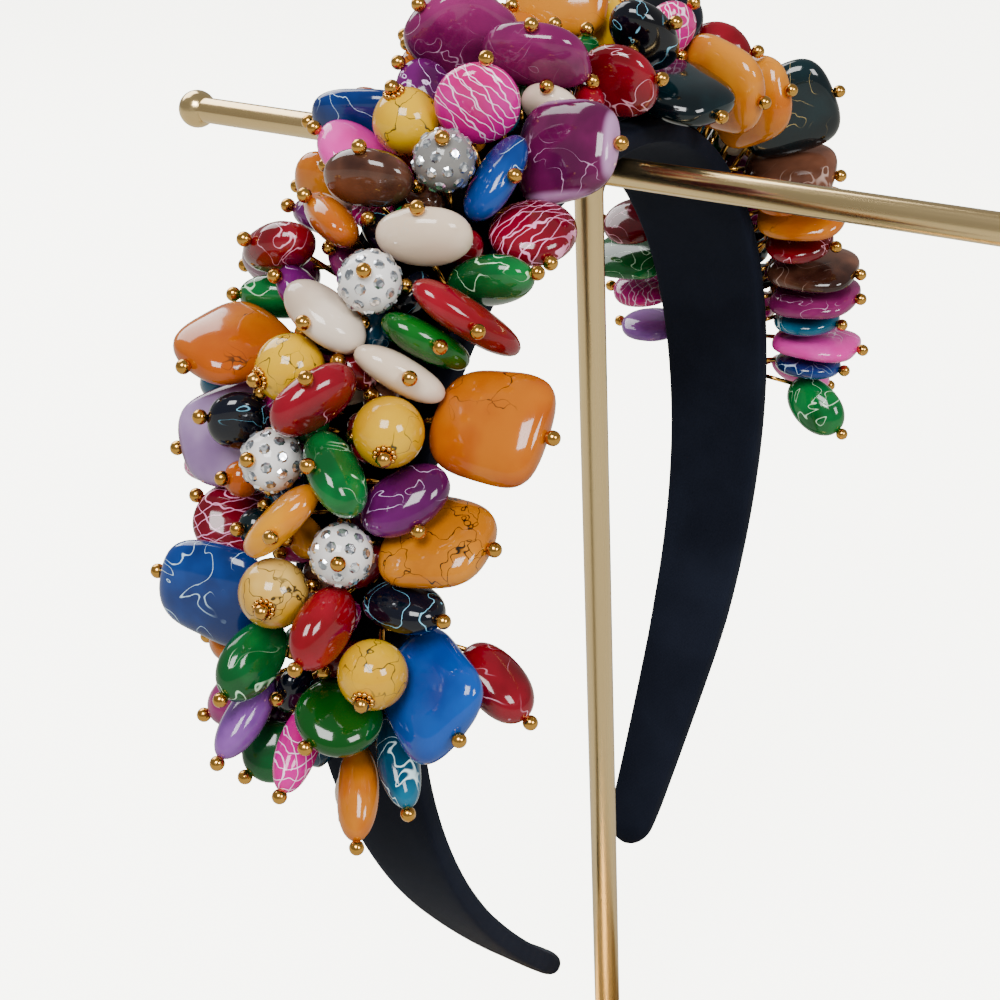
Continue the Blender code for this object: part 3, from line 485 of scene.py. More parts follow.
def solidRings(stone):  # the plain solid of a stone, as the frame has it
    form = stone.form
    halfLength, halfAcross, halfThick = stone.half
    wire = pins["wire"] / 2
    count = solids["mainSides"] if stone.ownNode or stone.shape in roundKinds else solids["fieldSides"]
    along, across, through = stone.pin, stone.wide, stone.through
    sink = pins["gap"] if stone.ownNode else -strip["thick"] / 2
    rings = [roundRing(stone.foot + stone.stripOut * sink, across, through, wire, wire, count)]
    rings.append(roundRing(stone.innerEnd(), across, through, wire, wire, count))
    for share in (solids["mainRings"] if stone.ownNode else solids["fieldRings"]):
        outline = (1 - abs(share) ** form["square"]) ** (1 / form["square"])
        depth = (1 - abs(share) ** form["edge"]) ** (1 / form["edge"])
        wideHere = halfAcross * outline * (1 + form["taper"] * share)
        centre = stone.middle + along * (halfLength * share)
        rings.append(roundRing(centre, across, through, wideHere, halfThick * depth, count))
    top = stone.middle + along * halfLength
    if not stone.ownNode:
        return rings + [[top]]
    rings.append(roundRing(top, across, through, wire, wire, count))
    radius = pins["ball"] / 2
    centre = top + along * (pins["ballSeat"] * radius)
    for share in solids["ballRings"]:
        around = radius * math.sqrt(1 - share ** 2)
        rings.append(roundRing(centre + along * (radius * share), across, through, around, around, count))
    return rings + [[centre + along * radius]]


def allStones():
    nearSlots, farSlots = pinSlots(-1), pinSlots(1)
    main = [Stone(*row[:3], row[3:], True, nearSlots) for row in mainStones]
    near = [Stone("", *row[:2], row[2:], False, nearSlots) for row in nearStones]
    far = [Stone("", *row[:2], row[2:], False, farSlots) for row in farStones]
    for _, shape, _, station, *between, spin in mainStones:  # the main stones mirrored, where there is room
        row = (-station, *between, 180 - spin)
        middle, fan = stonePose(*row)[0], between[0]
        clear = all((s.middle - middle).length > settling["fillSpacing"] for s in main + far)
        if fan > settling["fillLowestFan"] and clear:
            finish = fillFinishes[len(far) % len(fillFinishes)]
            far.append(Stone("", shape, finish, row, False, farSlots))
    return main, near, far


def skin(build, rows):  # faces between rings of vertices, then the faces that close the two ends
    sides, ends = [], []
    for low, high in zip(rows, rows[1:]):
        count = max(len(low), len(high))
        for i in range(count):
            j = (i + 1) % count
            corners = [low[i % len(low)], low[j % len(low)], high[j % len(high)], high[i % len(high)]]
            sides.append(build.faces.new(list(dict.fromkeys(corners))))
    for ring in (list(reversed(rows[0])), rows[-1]):
        if len(ring) > 2:
            ends.append(build.faces.new(ring))
    return sides, ends


def searchTree(rings):  # the same surface as the solid's, for the last test of what meets what
    build = bmesh.new()
    skin(build, [[build.verts.new(point) for point in ring] for ring in rings])
    bmesh.ops.triangulate(build, faces=build.faces[:])
    tree = BVHTree.FromBMesh(build)
    build.free()
    return tree


def separate(stones, placed):  # lifts a stone that still meets another
    kept = []
    for stone in stones:
        for _ in range(settling["liftTries"]):
            tree = searchTree(solidRings(stone))
            if not any(tree.overlap(other) for other in placed):
                placed.append(tree)
                kept.append(stone)
                break
            stone.middle = stone.middle + stone.pin * settling["liftStep"]
    return kept


def fillGaps(leg, placed):  # small stones on the free pins, wherever they are clear of all others
    made = []
    for foot, out in pinSlots(leg):
        if len(made) == fillStones["most"]:
            break
        for reach in fillStones["reaches"]:
            stone = FillStone(len(made), foot, out, reach)
            tree = searchTree(solidRings(stone))
            if not any(tree.overlap(other) for other in placed):
                placed.append(tree)
                made.append(stone)
                break
    return made


def layStones():
    leg = [i / band["solidSteps"] for i in range(1, band["solidSteps"])] + list(band["tipStations"])
    stations = [-station for station in reversed(leg)] + [0.0] + leg
    bandSolid = [archRing(s, 0.0, band["thick"], 1.0, band["solidSides"], band["square"]) for s in stations]
    bar = []
    for side in (-1, 1):
        end = hang.inverted() @ Vector((0.0, side * stand["barLength"] / 2, stand["barHeight"]))
        radius = stand["rod"] / 2 + pins["gap"]
        bar.append(roundRing(end, Vector((1, 0, 0)), Vector((0, 0, 1)), radius, radius, solids["rodSides"]))
    main, near, far = allStones()
    settle(main, bandBalls())
    placed = [searchTree(bandSolid), searchTree(bar)]
    main = separate(main, placed)
    settle(near + far, [row for stone in main for row in stone.balls()] + bandBalls())
    near = separate(near, placed)
    far = separate(far, placed)
    fill = fillGaps(-1, placed) + fillGaps(1, placed)
    return main, near, far, fill


# Stone finishes: base colour, cloud colour, line colour, kind of line and how much of it, and
# for some the colour of the rim
finishRows = {
    "plum": ("761a5a", "963874", "c79dbb", "thread", 0.35),
    "plumRim": ("5c1048", "7c2460", "b890b0", "thread", 0.25, "a67aa4"),
    "hotPink": ("c2007e", "cc0498", "ffd0f0", "web", 1.0),
    "orchid": ("d838a4", "e868bf", "ffdaf2", "thread", 0.4),
    "lilac": ("6f3f88", "9868ae", "dcc6e8", "thread", 0.3),
    "lilacRim": ("977aa6", "b59cc2", "d4c2dc", "thread", 0.3, "54103f"),
    "purple": ("560850", "741672", "dcc0ea", "thread", 0.6),
    "blue": ("04346f", "0a5098", "b8d8f2", "thread", 0.5),
    "blueClear": ("074492", "0a5cac", "9cc4ea", "thread", 0.12),
    "navy": ("040814", "0b1428", "7cc4e0", "thread", 0.6),
    "teal": ("074c66", "0d7490", "d2eef2", "thread", 0.55),
    "deepTeal": ("061a20", "0f3036", "b09a60", "thread", 0.2),
    "green": ("035a2c", "0b8446", "c2eec4", "thread", 0.5),
    "greenClear": ("045418", "0c7428", "9fdcaa", "thread", 0.08),
    "crimson": ("6c0218", "8e0a2c", "eda6bc", "thread", 0.4),
    "crimsonLined": ("6c0220", "8c0a30", "f09cc4", "web", 0.9),
    "crimsonClear": ("7e0418", "9a0f30", "d88a9c", "thread", 0.12),
    "brown": ("38201a", "7c5644", "a08478", "thread", 0.3),
    "ochre": ("ae5c00", "be7410", "3a2410", "crackle", 0.35),
    "ochreCrackle": ("b67408", "ca8a1e", "1c140c", "crackle", 0.9),
    "tan": ("b86c08", "cc8c28", "6a4420", "crackle", 0.12),
    "amber": ("c88000", "d89c00", "4a3010", "crackle", 0.35),
    "yellow": ("cc9e00", "dab200", "3c3418", "crackle", 0.45),
    "cream": ("c69a24", "dcbc70", "3c3018", "crackle", 0.55),
    "ivory": ("dcc8b2", "ecdccb", "c8bfb0", "crackle", 0.12),
    "greyIvory": ("c9b6a4", "e0d2c2", "a8a096", "crackle", 0.15),
    "clay": ("d8d6d4", "e8e6e4", "c0c0c0", "crackle", 0.0),
    "clayGrey": ("6f6e70", "8d8b88", "c0c0c0", "crackle", 0.0),
}
finishWords = ("base", "cloud", "line", "kind", "amount", "rim")
finishes = {name: dict(zip(finishWords, row)) for name, row in finishRows.items()}

# Finishes that go by another name in the tables of stones, and main stones with one of their own
finishOf = {"hot_pink": "hotPink", "royal_blue": "blue", "deep_teal": "deepTeal", "pave": "clay"}
ownFinish = {"plum_rim_nugget": "plumRim", "lilac_square_nugget": "lilacRim", "blue_big_nugget": "blueClear",
             "green_coin": "greenClear", "green_slim_oval": "greenClear",
             "crimson_lined_coin": "crimsonLined", "crimson_big_coin": "crimsonLined",
             "red_long_oval": "crimsonClear", "red_hanging_oval": "crimsonClear",
             "ochre_crackle_nugget": "ochreCrackle", "cream_yellow_ball": "cream",
             "grey_ivory_oval": "greyIvory", "rhinestone_ball_crown": "clayGrey"}


def finishFor(stone):
    return ownFinish.get(stone.name, finishOf.get(stone.finish, stone.finish))


def colourOf(text):  # six hex digits as the screen shows them, to linear light
    values = [int(text[i:i + 2], 16) / 255 for i in (0, 2, 4)]
    return (*[v / 12.92 if v <= 0.04045 else ((v + 0.055) / 1.055) ** 2.4 for v in values], 1.0)


def newMaterial(name):
    made = bpy.data.materials.new(name)
    made.use_nodes = True
    tree = made.node_tree
    return made, tree, tree.nodes["Principled BSDF"]


def addNode(tree, kind, **values):
    node = tree.nodes.new(kind)
    for key, value in values.items():
        setattr(node, key, value)
    return node


def setInputs(node, values):
    for key, value in values.items():
        node.inputs[key].default_value = value


def feed(tree, socket, value):  # a number or colour is set on the socket, anything else is linked to it
    if isinstance(value, (int, float, tuple)):
        socket.default_value = value
    else:
        tree.links.new(value, socket)


def mathNode(tree, operation, *values):
    node = addNode(tree, "ShaderNodeMath", operation=operation)
    for socket, value in zip(node.inputs, values):
        feed(tree, socket, value)
    return node.outputs[0]


def ramp(tree, value, low, high, outLow=0.0, outHigh=1.0):
    node = addNode(tree, "ShaderNodeMapRange", interpolation_type="SMOOTHSTEP")
    tree.links.new(value, node.inputs["Value"])
    setInputs(node, {"From Min": low, "From Max": high, "To Min": outLow, "To Max": outHigh})
    return node.outputs["Result"]


def mixColour(tree, factor, first, second):
    node = addNode(tree, "ShaderNodeMix", data_type="RGBA")
    tree.links.new(factor, node.inputs["Factor"])
    feed(tree, node.inputs[6], first)
    feed(tree, node.inputs[7], second)
    return node.outputs[2]


def noiseValue(tree, place, scale, detail=2.0, rough=0.5, distortion=0.0):
    node = addNode(tree, "ShaderNodeTexNoise")
    tree.links.new(place, node.inputs["Vector"])
    setInputs(node, {"Scale": scale, "Detail": detail, "Roughness": rough, "Distortion": distortion})
    return node.outputs["Fac"]


def objectPlace(tree, shift=(0.0, 0.0, 0.0), scale=(1.0, 1.0, 1.0), turn=(0.0, 0.0, 0.0)):
    coords = addNode(tree, "ShaderNodeTexCoord")
    mapping = addNode(tree, "ShaderNodeMapping")
    tree.links.new(coords.outputs["Object"], mapping.inputs["Vector"])
    setInputs(mapping, {"Location": shift, "Scale": scale, "Rotation": turn})
    return mapping.outputs["Vector"]


stoneLook = {
    "shift": (0.37, 0.91, 0.53), "depth": 1.25,
    "cloudScale": 95.0, "cloudDetail": 3.0, "clouds": (0.35, 0.68),
    "threadScale": 135.0, "threadNoise": (1.5, 0.45, 1.3), "threadWidth": 0.009, "threadCore": 0.25,
    "webScale": 190.0, "webPeak": 0.972, "webEdge": 0.02, "webWobble": 7.0, "webDetail": 1.1,
    "webTurn": 1.3, "webCross": 1.25, "webTips": (0.7, 1.9),
    "crackScale": 150.0, "crackWidth": 0.020, "crackCore": 0.2, "bendScale": 210.0, "bend": 0.011,
    "maskScale": 70.0, "maskMost": 0.70, "maskShare": 0.42, "maskEdge": (0.04, 0.06),
    "rim": (0.83, 0.95), "rough": 0.10, "specular": 0.34, "coat": 0.30, "coatRough": 0.03,
}


def threadLines(tree, place):  # thin meandering lines where a noise crosses its middle
    value = noiseValue(tree, place, stoneLook["threadScale"], *stoneLook["threadNoise"])
    away = mathNode(tree, "ABSOLUTE", mathNode(tree, "SUBTRACT", value, 0.5))
    width = stoneLook["threadWidth"]
    return ramp(tree, away, stoneLook["threadCore"] * width, width, 1.0, 0.0)


def webLines(tree, seed):  # two sets of wavering parallel strokes that cross
    drawn = None
    first, peak = seed * stoneLook["webTurn"], stoneLook["webPeak"]
    for turn in (first, first + stoneLook["webCross"]):
        wave = addNode(tree, "ShaderNodeTexWave", wave_type="BANDS", bands_direction="X")
        tips = [share * turn for share in stoneLook["webTips"]]
        tree.links.new(objectPlace(tree, turn=(turn, *tips)), wave.inputs["Vector"])
        setInputs(wave, {"Scale": stoneLook["webScale"], "Distortion": stoneLook["webWobble"],
                         "Detail Scale": stoneLook["webDetail"]})
        lines = ramp(tree, wave.outputs["Fac"], peak, peak + stoneLook["webEdge"])
        drawn = lines if drawn is None else mathNode(tree, "MAXIMUM", drawn, lines)
    return drawn


def crackLines(tree, place):  # fine crackle: the borders of bent cells
    bent = addNode(tree, "ShaderNodeTexNoise")
    tree.links.new(place, bent.inputs["Vector"])
    bent.inputs["Scale"].default_value = stoneLook["bendScale"]
    mixed = addNode(tree, "ShaderNodeVectorMath", operation="MULTIPLY_ADD")
    for socket, value in zip(mixed.inputs, (bent.outputs["Color"], (stoneLook["bend"],) * 3, place)):
        feed(tree, socket, value)
    cells = addNode(tree, "ShaderNodeTexVoronoi", feature="DISTANCE_TO_EDGE")
    tree.links.new(mixed.outputs[0], cells.inputs["Vector"])
    cells.inputs["Scale"].default_value = stoneLook["crackScale"]
    width = stoneLook["crackWidth"]
    return ramp(tree, cells.outputs["Distance"], stoneLook["crackCore"] * width, width, 1.0, 0.0)


def deep(text):  # screen colours look paler under this light, so they are deepened
    return (*[value ** stoneLook["depth"] for value in colourOf(text)[:3]], 1.0)


def stoneMaterial(name, finish, seed):
    look = finishes[finish]
    made, tree, shader = newMaterial(name)
    place = objectPlace(tree, [value * seed for value in stoneLook["shift"]])
    clouds = noiseValue(tree, place, stoneLook["cloudScale"], stoneLook["cloudDetail"])
    cloud = ramp(tree, clouds, *stoneLook["clouds"])
    colour = mixColour(tree, cloud, deep(look["base"]), deep(look["cloud"]))
    if look["amount"] > 0.0:
        if look["kind"] == "crackle":
            lines = crackLines(tree, place)
        elif look["kind"] == "web":
            lines = webLines(tree, seed)
        else:
            lines = threadLines(tree, place)
        middle = stoneLook["maskMost"] - stoneLook["maskShare"] * look["amount"]
        below, above = stoneLook["maskEdge"]
        mask = ramp(tree, noiseValue(tree, place, stoneLook["maskScale"]), middle - below, middle + above)
        colour = mixColour(tree, mathNode(tree, "MULTIPLY", lines, mask), colour, colourOf(look["line"]))
    if "rim" in look:
        rim = addNode(tree, "ShaderNodeAttribute", attribute_name="rim")
        edge = ramp(tree, rim.outputs["Fac"], *stoneLook["rim"])
        colour = mixColour(tree, edge, colour, colourOf(look["rim"]))
    tree.links.new(colour, shader.inputs["Base Color"])
    setInputs(shader, {"Roughness": stoneLook["rough"], "Specular IOR Level": stoneLook["specular"],
                       "Coat Weight": stoneLook["coat"], "Coat Roughness": stoneLook["coatRough"]})
    return made


# the streaks vary the roughness; the darker brown streaks mixed into the colour, drawn out along each rod,
# are painted reflection of dark surroundings
goldLook = {"streakScale": 900.0, "streakDetail": 3.0, "streaks": (0.35, 0.65), "roughShares": (0.8, 1.35),
            "darkReflectionScale": 260.0, "darkReflectionRamp": (0.4, 0.7), "darkReflectionTint": (0.93, 0.88, 0.80)}


def goldMaterial(name, stretch, base, rough):
    made, tree, shader = newMaterial(name)
    place = objectPlace(tree, scale=stretch)
    streaks = noiseValue(tree, place, goldLook["streakScale"], goldLook["streakDetail"])
    least, most = [rough * share for share in goldLook["roughShares"]]
    tree.links.new(ramp(tree, streaks, *goldLook["streaks"], least, most), shader.inputs["Roughness"])
    # painted reflection: darker brown streaks standing in for the dark surroundings mirrored in the gold,
    # drawn out along each rod
    darkReflectionMask = ramp(tree, noiseValue(tree, place, goldLook["darkReflectionScale"]), *goldLook["darkReflectionRamp"])
    warm = colourOf(base)
    darkReflectionTint = (*[value * share for value, share in zip(warm, goldLook["darkReflectionTint"])], 1.0)
    tree.links.new(mixColour(tree, darkReflectionMask, warm, darkReflectionTint), shader.inputs["Base Color"])
    shader.inputs["Metallic"].default_value = 1.0
    return made


clothLook = {"waver": 0.6, "softScale": 45.0, "softDetail": 3.0, "soft": (0.35, 0.7), "bump": 0.25,
             "bumpDepth": 0.00008, "rough": 0.70, "specular": 0.03, "sheen": 0.05, "sheenRough": 0.35,
             "sheenTint": (0.55, 0.60, 0.75, 1.0)}


def clothMaterial(name, look):
    made, tree, shader = newMaterial(name)
    uv = addNode(tree, "ShaderNodeUVMap", uv_map="surface")
    threads = []
    for way in ("X", "Y"):
        wave = addNode(tree, "ShaderNodeTexWave", wave_type="BANDS", bands_direction=way)
        tree.links.new(uv.outputs["UV"], wave.inputs["Vector"])
        setInputs(wave, {"Scale": look["threads"], "Distortion": clothLook["waver"]})
        threads.append(wave.outputs["Fac"])
    clouds = noiseValue(tree, objectPlace(tree), clothLook["softScale"], clothLook["softDetail"])
    soft = ramp(tree, clouds, *clothLook["soft"])
    tree.links.new(mixColour(tree, soft, colourOf(look["base"]), colourOf(look["lit"])),
                   shader.inputs["Base Color"])
    bump = addNode(tree, "ShaderNodeBump")
    setInputs(bump, {"Strength": clothLook["bump"], "Distance": clothLook["bumpDepth"]})
    tree.links.new(mathNode(tree, "ADD", *threads), bump.inputs["Height"])
    tree.links.new(bump.outputs["Normal"], shader.inputs["Normal"])
    setInputs(shader, {"Roughness": clothLook["rough"], "Specular IOR Level": clothLook["specular"],
                       "Sheen Weight": clothLook["sheen"], "Sheen Roughness": clothLook["sheenRough"],
                       "Sheen Tint": clothLook["sheenTint"]})
    return made


crystalLook = {"scale": 1500.0, "glints": (0.4, 0.6), "grey": "9aa0a8", "pale": "f4f6fa", "metal": 0.85,
               "rough": 0.06}


def crystalMaterial():
    made, tree, shader = newMaterial("rhinestone_crystal")
    glint = ramp(tree, noiseValue(tree, objectPlace(tree), crystalLook["scale"], 0.0), *crystalLook["glints"])
    colour = mixColour(tree, glint, colourOf(crystalLook["grey"]), colourOf(crystalLook["pale"]))
    tree.links.new(colour, shader.inputs["Base Color"])
    setInputs(shader, {"Metallic": crystalLook["metal"], "Roughness": crystalLook["rough"]})
    return made


# Golds: the stretch of the streaks, the colour and the roughness
even = (1.0, 1.0, 1.0)
goldPin = goldMaterial("pin_gold", even, "cd9a4a", 0.15)
barGold = goldMaterial("bar_gold", (1.0, 0.02, 1.0), "e0c48e", 0.20)
postGold = goldMaterial("post_gold", (1.0, 1.0, 0.02), "e0c48e", 0.26)
baseGold = goldMaterial("base_gold", even, "d4b27a", 0.22)
crystal = crystalMaterial()


def axesRound(axis):
    axis = axis.normalized()
    side = axis.orthogonal().normalized()
    return axis, side, axis.cross(side)


def meshObject(name, build, materials):
    mesh = bpy.data.meshes.new(name)
    build.to_mesh(mesh)
    build.free()
    for material in materials:
        mesh.materials.append(material)
    return linkObject(name, mesh)


def fitOut(piece, solid=None):  # every piece rides on the one body
    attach(piece, "root")
    if solid:
        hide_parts(solid)


class Builder:  # gathers rings and balls into one mesh with several materials
    def __init__(self):
        self.build = bmesh.new()
        self.rim = self.build.verts.layers.float.new("rim")

    def grid(self, rows, slot, rims=None):
        made = [[self.build.verts.new(point) for point in row] for row in rows]
        for line, values in zip(made, rims or []):
            for vertex, value in zip(line, values):
                vertex[self.rim] = value
        sides, ends = skin(self.build, made)
        for face in sides + ends:
            face.material_index = slot
        for face in sides:
            face.smooth = True

    def ball(self, centre, axis, radius, slot, rings, sides):
        axis, side, other = axesRound(axis)
        rows = [[centre - axis * radius]]
        for i in range(1, rings):
            turn = math.pi * i / rings
            middle, around = centre - axis * (radius * math.cos(turn)), radius * math.sin(turn)
            rows.append(roundRing(middle, side, other, around, around, sides))
        self.grid(rows + [[centre + axis * radius]], slot)

    def wire(self, start, end, radius, slot, sides=8):
        _, side, other = axesRound(end - start)
        self.grid([roundRing(place, side, other, radius, radius, sides) for place in (start, end)], slot)

    def layUv(self, stations, sides):  # millimetres along and across, for the weave
        layer = self.build.loops.layers.uv.new("surface")
        self.build.verts.index_update()
        for face in self.build.faces:
            for loop in face.loops:
                row = min(loop.vert.index // sides, len(stations) - 1)
                loop[layer].uv = (stations[row] * band["leg"] * 1000, loop.vert.co.y * 1000)

    def finish(self, name, materials, matrix=None):
        if matrix is not None:
            bmesh.ops.transform(self.build, matrix=matrix, verts=self.build.verts[:])
        bmesh.ops.recalc_face_normals(self.build, faces=self.build.faces[:])
        return meshObject(name, self.build, materials)


stoneMesh = {"rows": 26, "sides": 30, "fillRows": 12, "fillSides": 16, "crossPower": 2.25,
             "roughness": 0.00022, "lumpScale": 130.0, "lumpShift": (3.1, 1.7, 2.3), "lumpSeed": 5}
noise.seed_set(stoneMesh["lumpSeed"])  # otherwise the clock shifts the stones' unevenness from run to run


def addStone(builder, stone, slot, seed, rowCount=stoneMesh["rows"], sides=stoneMesh["sides"]):
    form = stone.form
    halfLength, halfAcross, halfThick = stone.half
    isRound = stone.shape in roundKinds
    lump = 0.0 if isRound else stoneMesh["roughness"]
    power = 2.0 if isRound else stoneMesh["crossPower"]
    shift = Vector([seed * value for value in stoneMesh["lumpShift"]])
    rows, rims = [], []
    for i in range(rowCount + 1):
        turn = math.pi * i / rowCount
        share = -math.copysign(abs(math.cos(turn)) ** (2 / form["square"]), math.cos(turn))
        outline = max(0.0, 1 - abs(share) ** form["square"]) ** (1 / form["square"])
        depth = max(0.0, 1 - abs(share) ** form["edge"]) ** (1 / form["edge"])
        centre = stone.middle + stone.pin * (halfLength * share)
        if i in (0, rowCount):
            rows.append([centre])
            rims.append([1.0])
            continue
        across = halfAcross * outline * (1 + form["taper"] * share)
        ring = roundRing(centre, stone.wide, stone.through, across, halfThick * depth, sides, power)
        rims.append([max(abs(share), abs((point - centre).dot(stone.wide)) / halfAcross) for point in ring])
        for j, point in enumerate(ring):
            ring[j] = point + noise.noise_vector(point * stoneMesh["lumpScale"] + shift) * lump
        rows.append(ring)
    builder.grid(rows, slot, rims)


pinLook = {"wireShare": 0.42, "tuck": 0.0006, "ballRings": 10, "ballSides": 16}


def addPin(builder, stone, slot):
    sink = 0.0 if stone.ownNode else strip["thick"] / 2
    foot, end = stone.foot - stone.stripOut * sink, stone.innerEnd() + stone.pin * pinLook["tuck"]
    builder.wire(foot, end, pins["wire"] * pinLook["wireShare"], slot)
    radius = pins["ball"] / 2
    top = stone.middle + stone.pin * stone.half[0] + stone.pin * (pins["ballSeat"] * radius)
    builder.ball(top, stone.pin, radius, slot, pinLook["ballRings"], pinLook["ballSides"])


capLook = {"ring": 0.00135, "grain": 0.00044, "count": 11, "lift": 0.0001, "rings": 5, "sides": 8}


def addCap(builder, stone, slot):  # little gold rosette round the pin at the outer end of a round bead
    top = stone.middle + stone.pin * (stone.half[0] + capLook["lift"])
    for i in range(capLook["count"]):
        turn = 2 * math.pi * i / capLook["count"]
        place = top + (stone.wide * math.cos(turn) + stone.through * math.sin(turn)) * capLook["ring"]
        builder.ball(place, stone.pin, capLook["grain"], slot, capLook["rings"], capLook["sides"])


rhinestones = {"size": 0.00096, "sides": 8, "table": 0.58, "depth": 0.42, "seed": 7, "sink": 0.00018,
               "detail": 2, "holeCosine": 0.95}


def crystalTree():  # cut crystals set on every point, their tables turned outwards
    group = bpy.data.node_groups.new("setRhinestones", "GeometryNodeTree")
    group.interface.new_socket(name="Geometry", in_out="INPUT", socket_type="NodeSocketGeometry")
    for name, kind, key in (("Crystal Radius", "Float", "size"), ("Crystal Sides", "Int", "sides"),
                            ("Seed", "Int", "seed")):
        socket = group.interface.new_socket(name=name, in_out="INPUT", socket_type="NodeSocket" + kind)
        socket.default_value = rhinestones[key]
    group.interface.new_socket(name="Geometry", in_out="OUTPUT", socket_type="NodeSocketGeometry")
    link = group.links.new
    source, result = addNode(group, "NodeGroupInput"), addNode(group, "NodeGroupOutput")
    radius = source.outputs["Crystal Radius"]
    cut = addNode(group, "GeometryNodeMeshCone")
    link(source.outputs["Crystal Sides"], cut.inputs["Vertices"])
    link(radius, cut.inputs["Radius Bottom"])
    for key, socket in (("table", "Radius Top"), ("depth", "Depth")):
        link(mathNode(group, "MULTIPLY", radius, rhinestones[key]), cut.inputs[socket])
    outward = addNode(group, "GeometryNodeInputNamedAttribute", data_type="FLOAT_VECTOR")
    outward.inputs["Name"].default_value = "outward"
    aim = addNode(group, "FunctionNodeAlignRotationToVector", axis="Z")
    link(outward.outputs["Attribute"], aim.inputs["Vector"])
    spin = addNode(group, "FunctionNodeRandomValue", data_type="FLOAT_VECTOR")
    spin.inputs["Max"].default_value = (0.0, 0.0, 2 * math.pi)
    link(source.outputs["Seed"], spin.inputs["Seed"])
    turn = addNode(group, "FunctionNodeRotateRotation", rotation_space="LOCAL")
    link(aim.outputs["Rotation"], turn.inputs["Rotation"])
    link(spin.outputs["Value"], turn.inputs["Rotate By"])
    place = addNode(group, "GeometryNodeInstanceOnPoints")
    link(source.outputs["Geometry"], place.inputs["Points"])
    link(cut.outputs["Mesh"], place.inputs["Instance"])
    link(turn.outputs["Rotation"], place.inputs["Rotation"])
    real = addNode(group, "GeometryNodeRealizeInstances")
    link(place.outputs["Instances"], real.inputs["Geometry"])
    paint = addNode(group, "GeometryNodeSetMaterial")
    paint.inputs["Material"].default_value = crystal
    link(real.outputs["Geometry"], paint.inputs["Geometry"])
    link(paint.outputs["Geometry"], result.inputs["Geometry"])
    return group


def setCrystals(name, stone, group):  # crystals all over a clay ball but where the pin goes through
    probe = bmesh.new()
    bmesh.ops.create_icosphere(probe, subdivisions=rhinestones["detail"], radius=1.0)
    turned = Matrix((stone.wide, stone.through, stone.pin)).transposed()
    ways = [(turned @ vertex.co).normalized() for vertex in probe.verts]
    probe.free()
    ways = [way for way in ways if abs(way.dot(stone.pin)) < rhinestones["holeCosine"]]
    lift = stone.half[2] - rhinestones["sink"]
    points = [hang @ (stone.middle + way * lift) for way in ways]
    mesh = bpy.data.meshes.new(name)
    mesh.from_pydata([tuple(point) for point in points], [], [])
    outward = mesh.attributes.new("outward", "FLOAT_VECTOR", "POINT")
    turn = hang.to_3x3()
    outward.data.foreach_set("vector", [value for way in ways for value in turn @ way])
    made = linkObject(name, mesh)
    modifier = made.modifiers.new("rhinestones", "NODES")
    modifier.node_group = group
    names = {item.name: item.identifier for item in group.interface.items_tree if item.in_out == "INPUT"}
    modifier[names["Crystal Radius"]] = rhinestones["size"]
    modifier[names["Crystal Sides"]] = rhinestones["sides"]
    bpy.context.view_layer.update()
    graph = bpy.context.evaluated_depsgraph_get()
    plain = bpy.data.meshes.new_from_object(made.evaluated_get(graph))
    made.modifiers.remove(modifier)
    plain.name = name
    plain.materials.clear()
    plain.materials.append(crystal)
    made.data = plain
    return made


# The band: cloth wrapped round a springy core
bandCloth = {"steps": 150, "sides": 40, "square": 7.0, "tipRows": 16, "tipRound": 0.0042, "tipLeast": 0.06,
             "tipSwell": 0.14, "tipSquare": 2.1, "threads": 1.1, "base": "12151f", "lit": "191d29"}


def addBand():
    leg = [i / bandCloth["steps"] for i in range(1, bandCloth["steps"])]
    leg = [value for value in leg if (1.0 - value) * band["leg"] > bandCloth["tipRound"]]
    tip, count = 1.0 - leg[-1], bandCloth["tipRows"]
    leg += [1.0 - tip * (1 - i / count) ** 2 for i in range(1, count + 1)]
    stations = [-value for value in reversed(leg)] + [0.0] + leg
    rows = []
    for s in stations:  # the folded cloth swells a little before each tip and closes in a round nose
        toTip = (1.0 - abs(s)) * band["leg"] / bandCloth["tipRound"]
        nose = math.sqrt(1.0 - (1.0 - min(1.0, toTip)) ** 2)
        swell = 1.0 + bandCloth["tipSwell"] * math.exp(-((toTip - 1.0) ** 2))
        thick = band["thick"] * max(bandCloth["tipLeast"], nose) * swell
        lift = (band["thick"] - thick) / 2
        square = min(bandCloth["square"], bandCloth["tipSquare"] + toTip ** 2)
        rows.append(archRing(s, lift, thick, 1.0, bandCloth["sides"], square, bandCloth["tipLeast"]))
    builder = Builder()
    builder.grid(rows, 0)
    builder.layUv(stations, bandCloth["sides"])
    cloth = clothMaterial("band_cloth_black", bandCloth)
    fitOut(builder.finish("wrapped_band", [cloth], hang), "band")


# The beading strips: black tape on the band's outer face that holds the pins
tapeLook = {"steps": 90, "sides": 16, "square": 4.0, "threads": 0.7, "base": "030304", "lit": "060608"}


def addTape(name, leg, cloth):
    start, end = pins["gap"] / band["leg"], strip["end"]
    first, last = (-end, -start) if leg < 0 else (start, end)
    steps, lift = tapeLook["steps"], band["thick"] + pins["gap"]
    stations = [first + (last - first) * i / steps for i in range(steps + 1)]
    form = (lift, strip["thick"], strip["share"], tapeLook["sides"], tapeLook["square"])
    builder = Builder()
    builder.grid([archRing(station, *form) for station in stations], 0)
    builder.layUv(stations, tapeLook["sides"])
    fitOut(builder.finish(name, [cloth], hang))


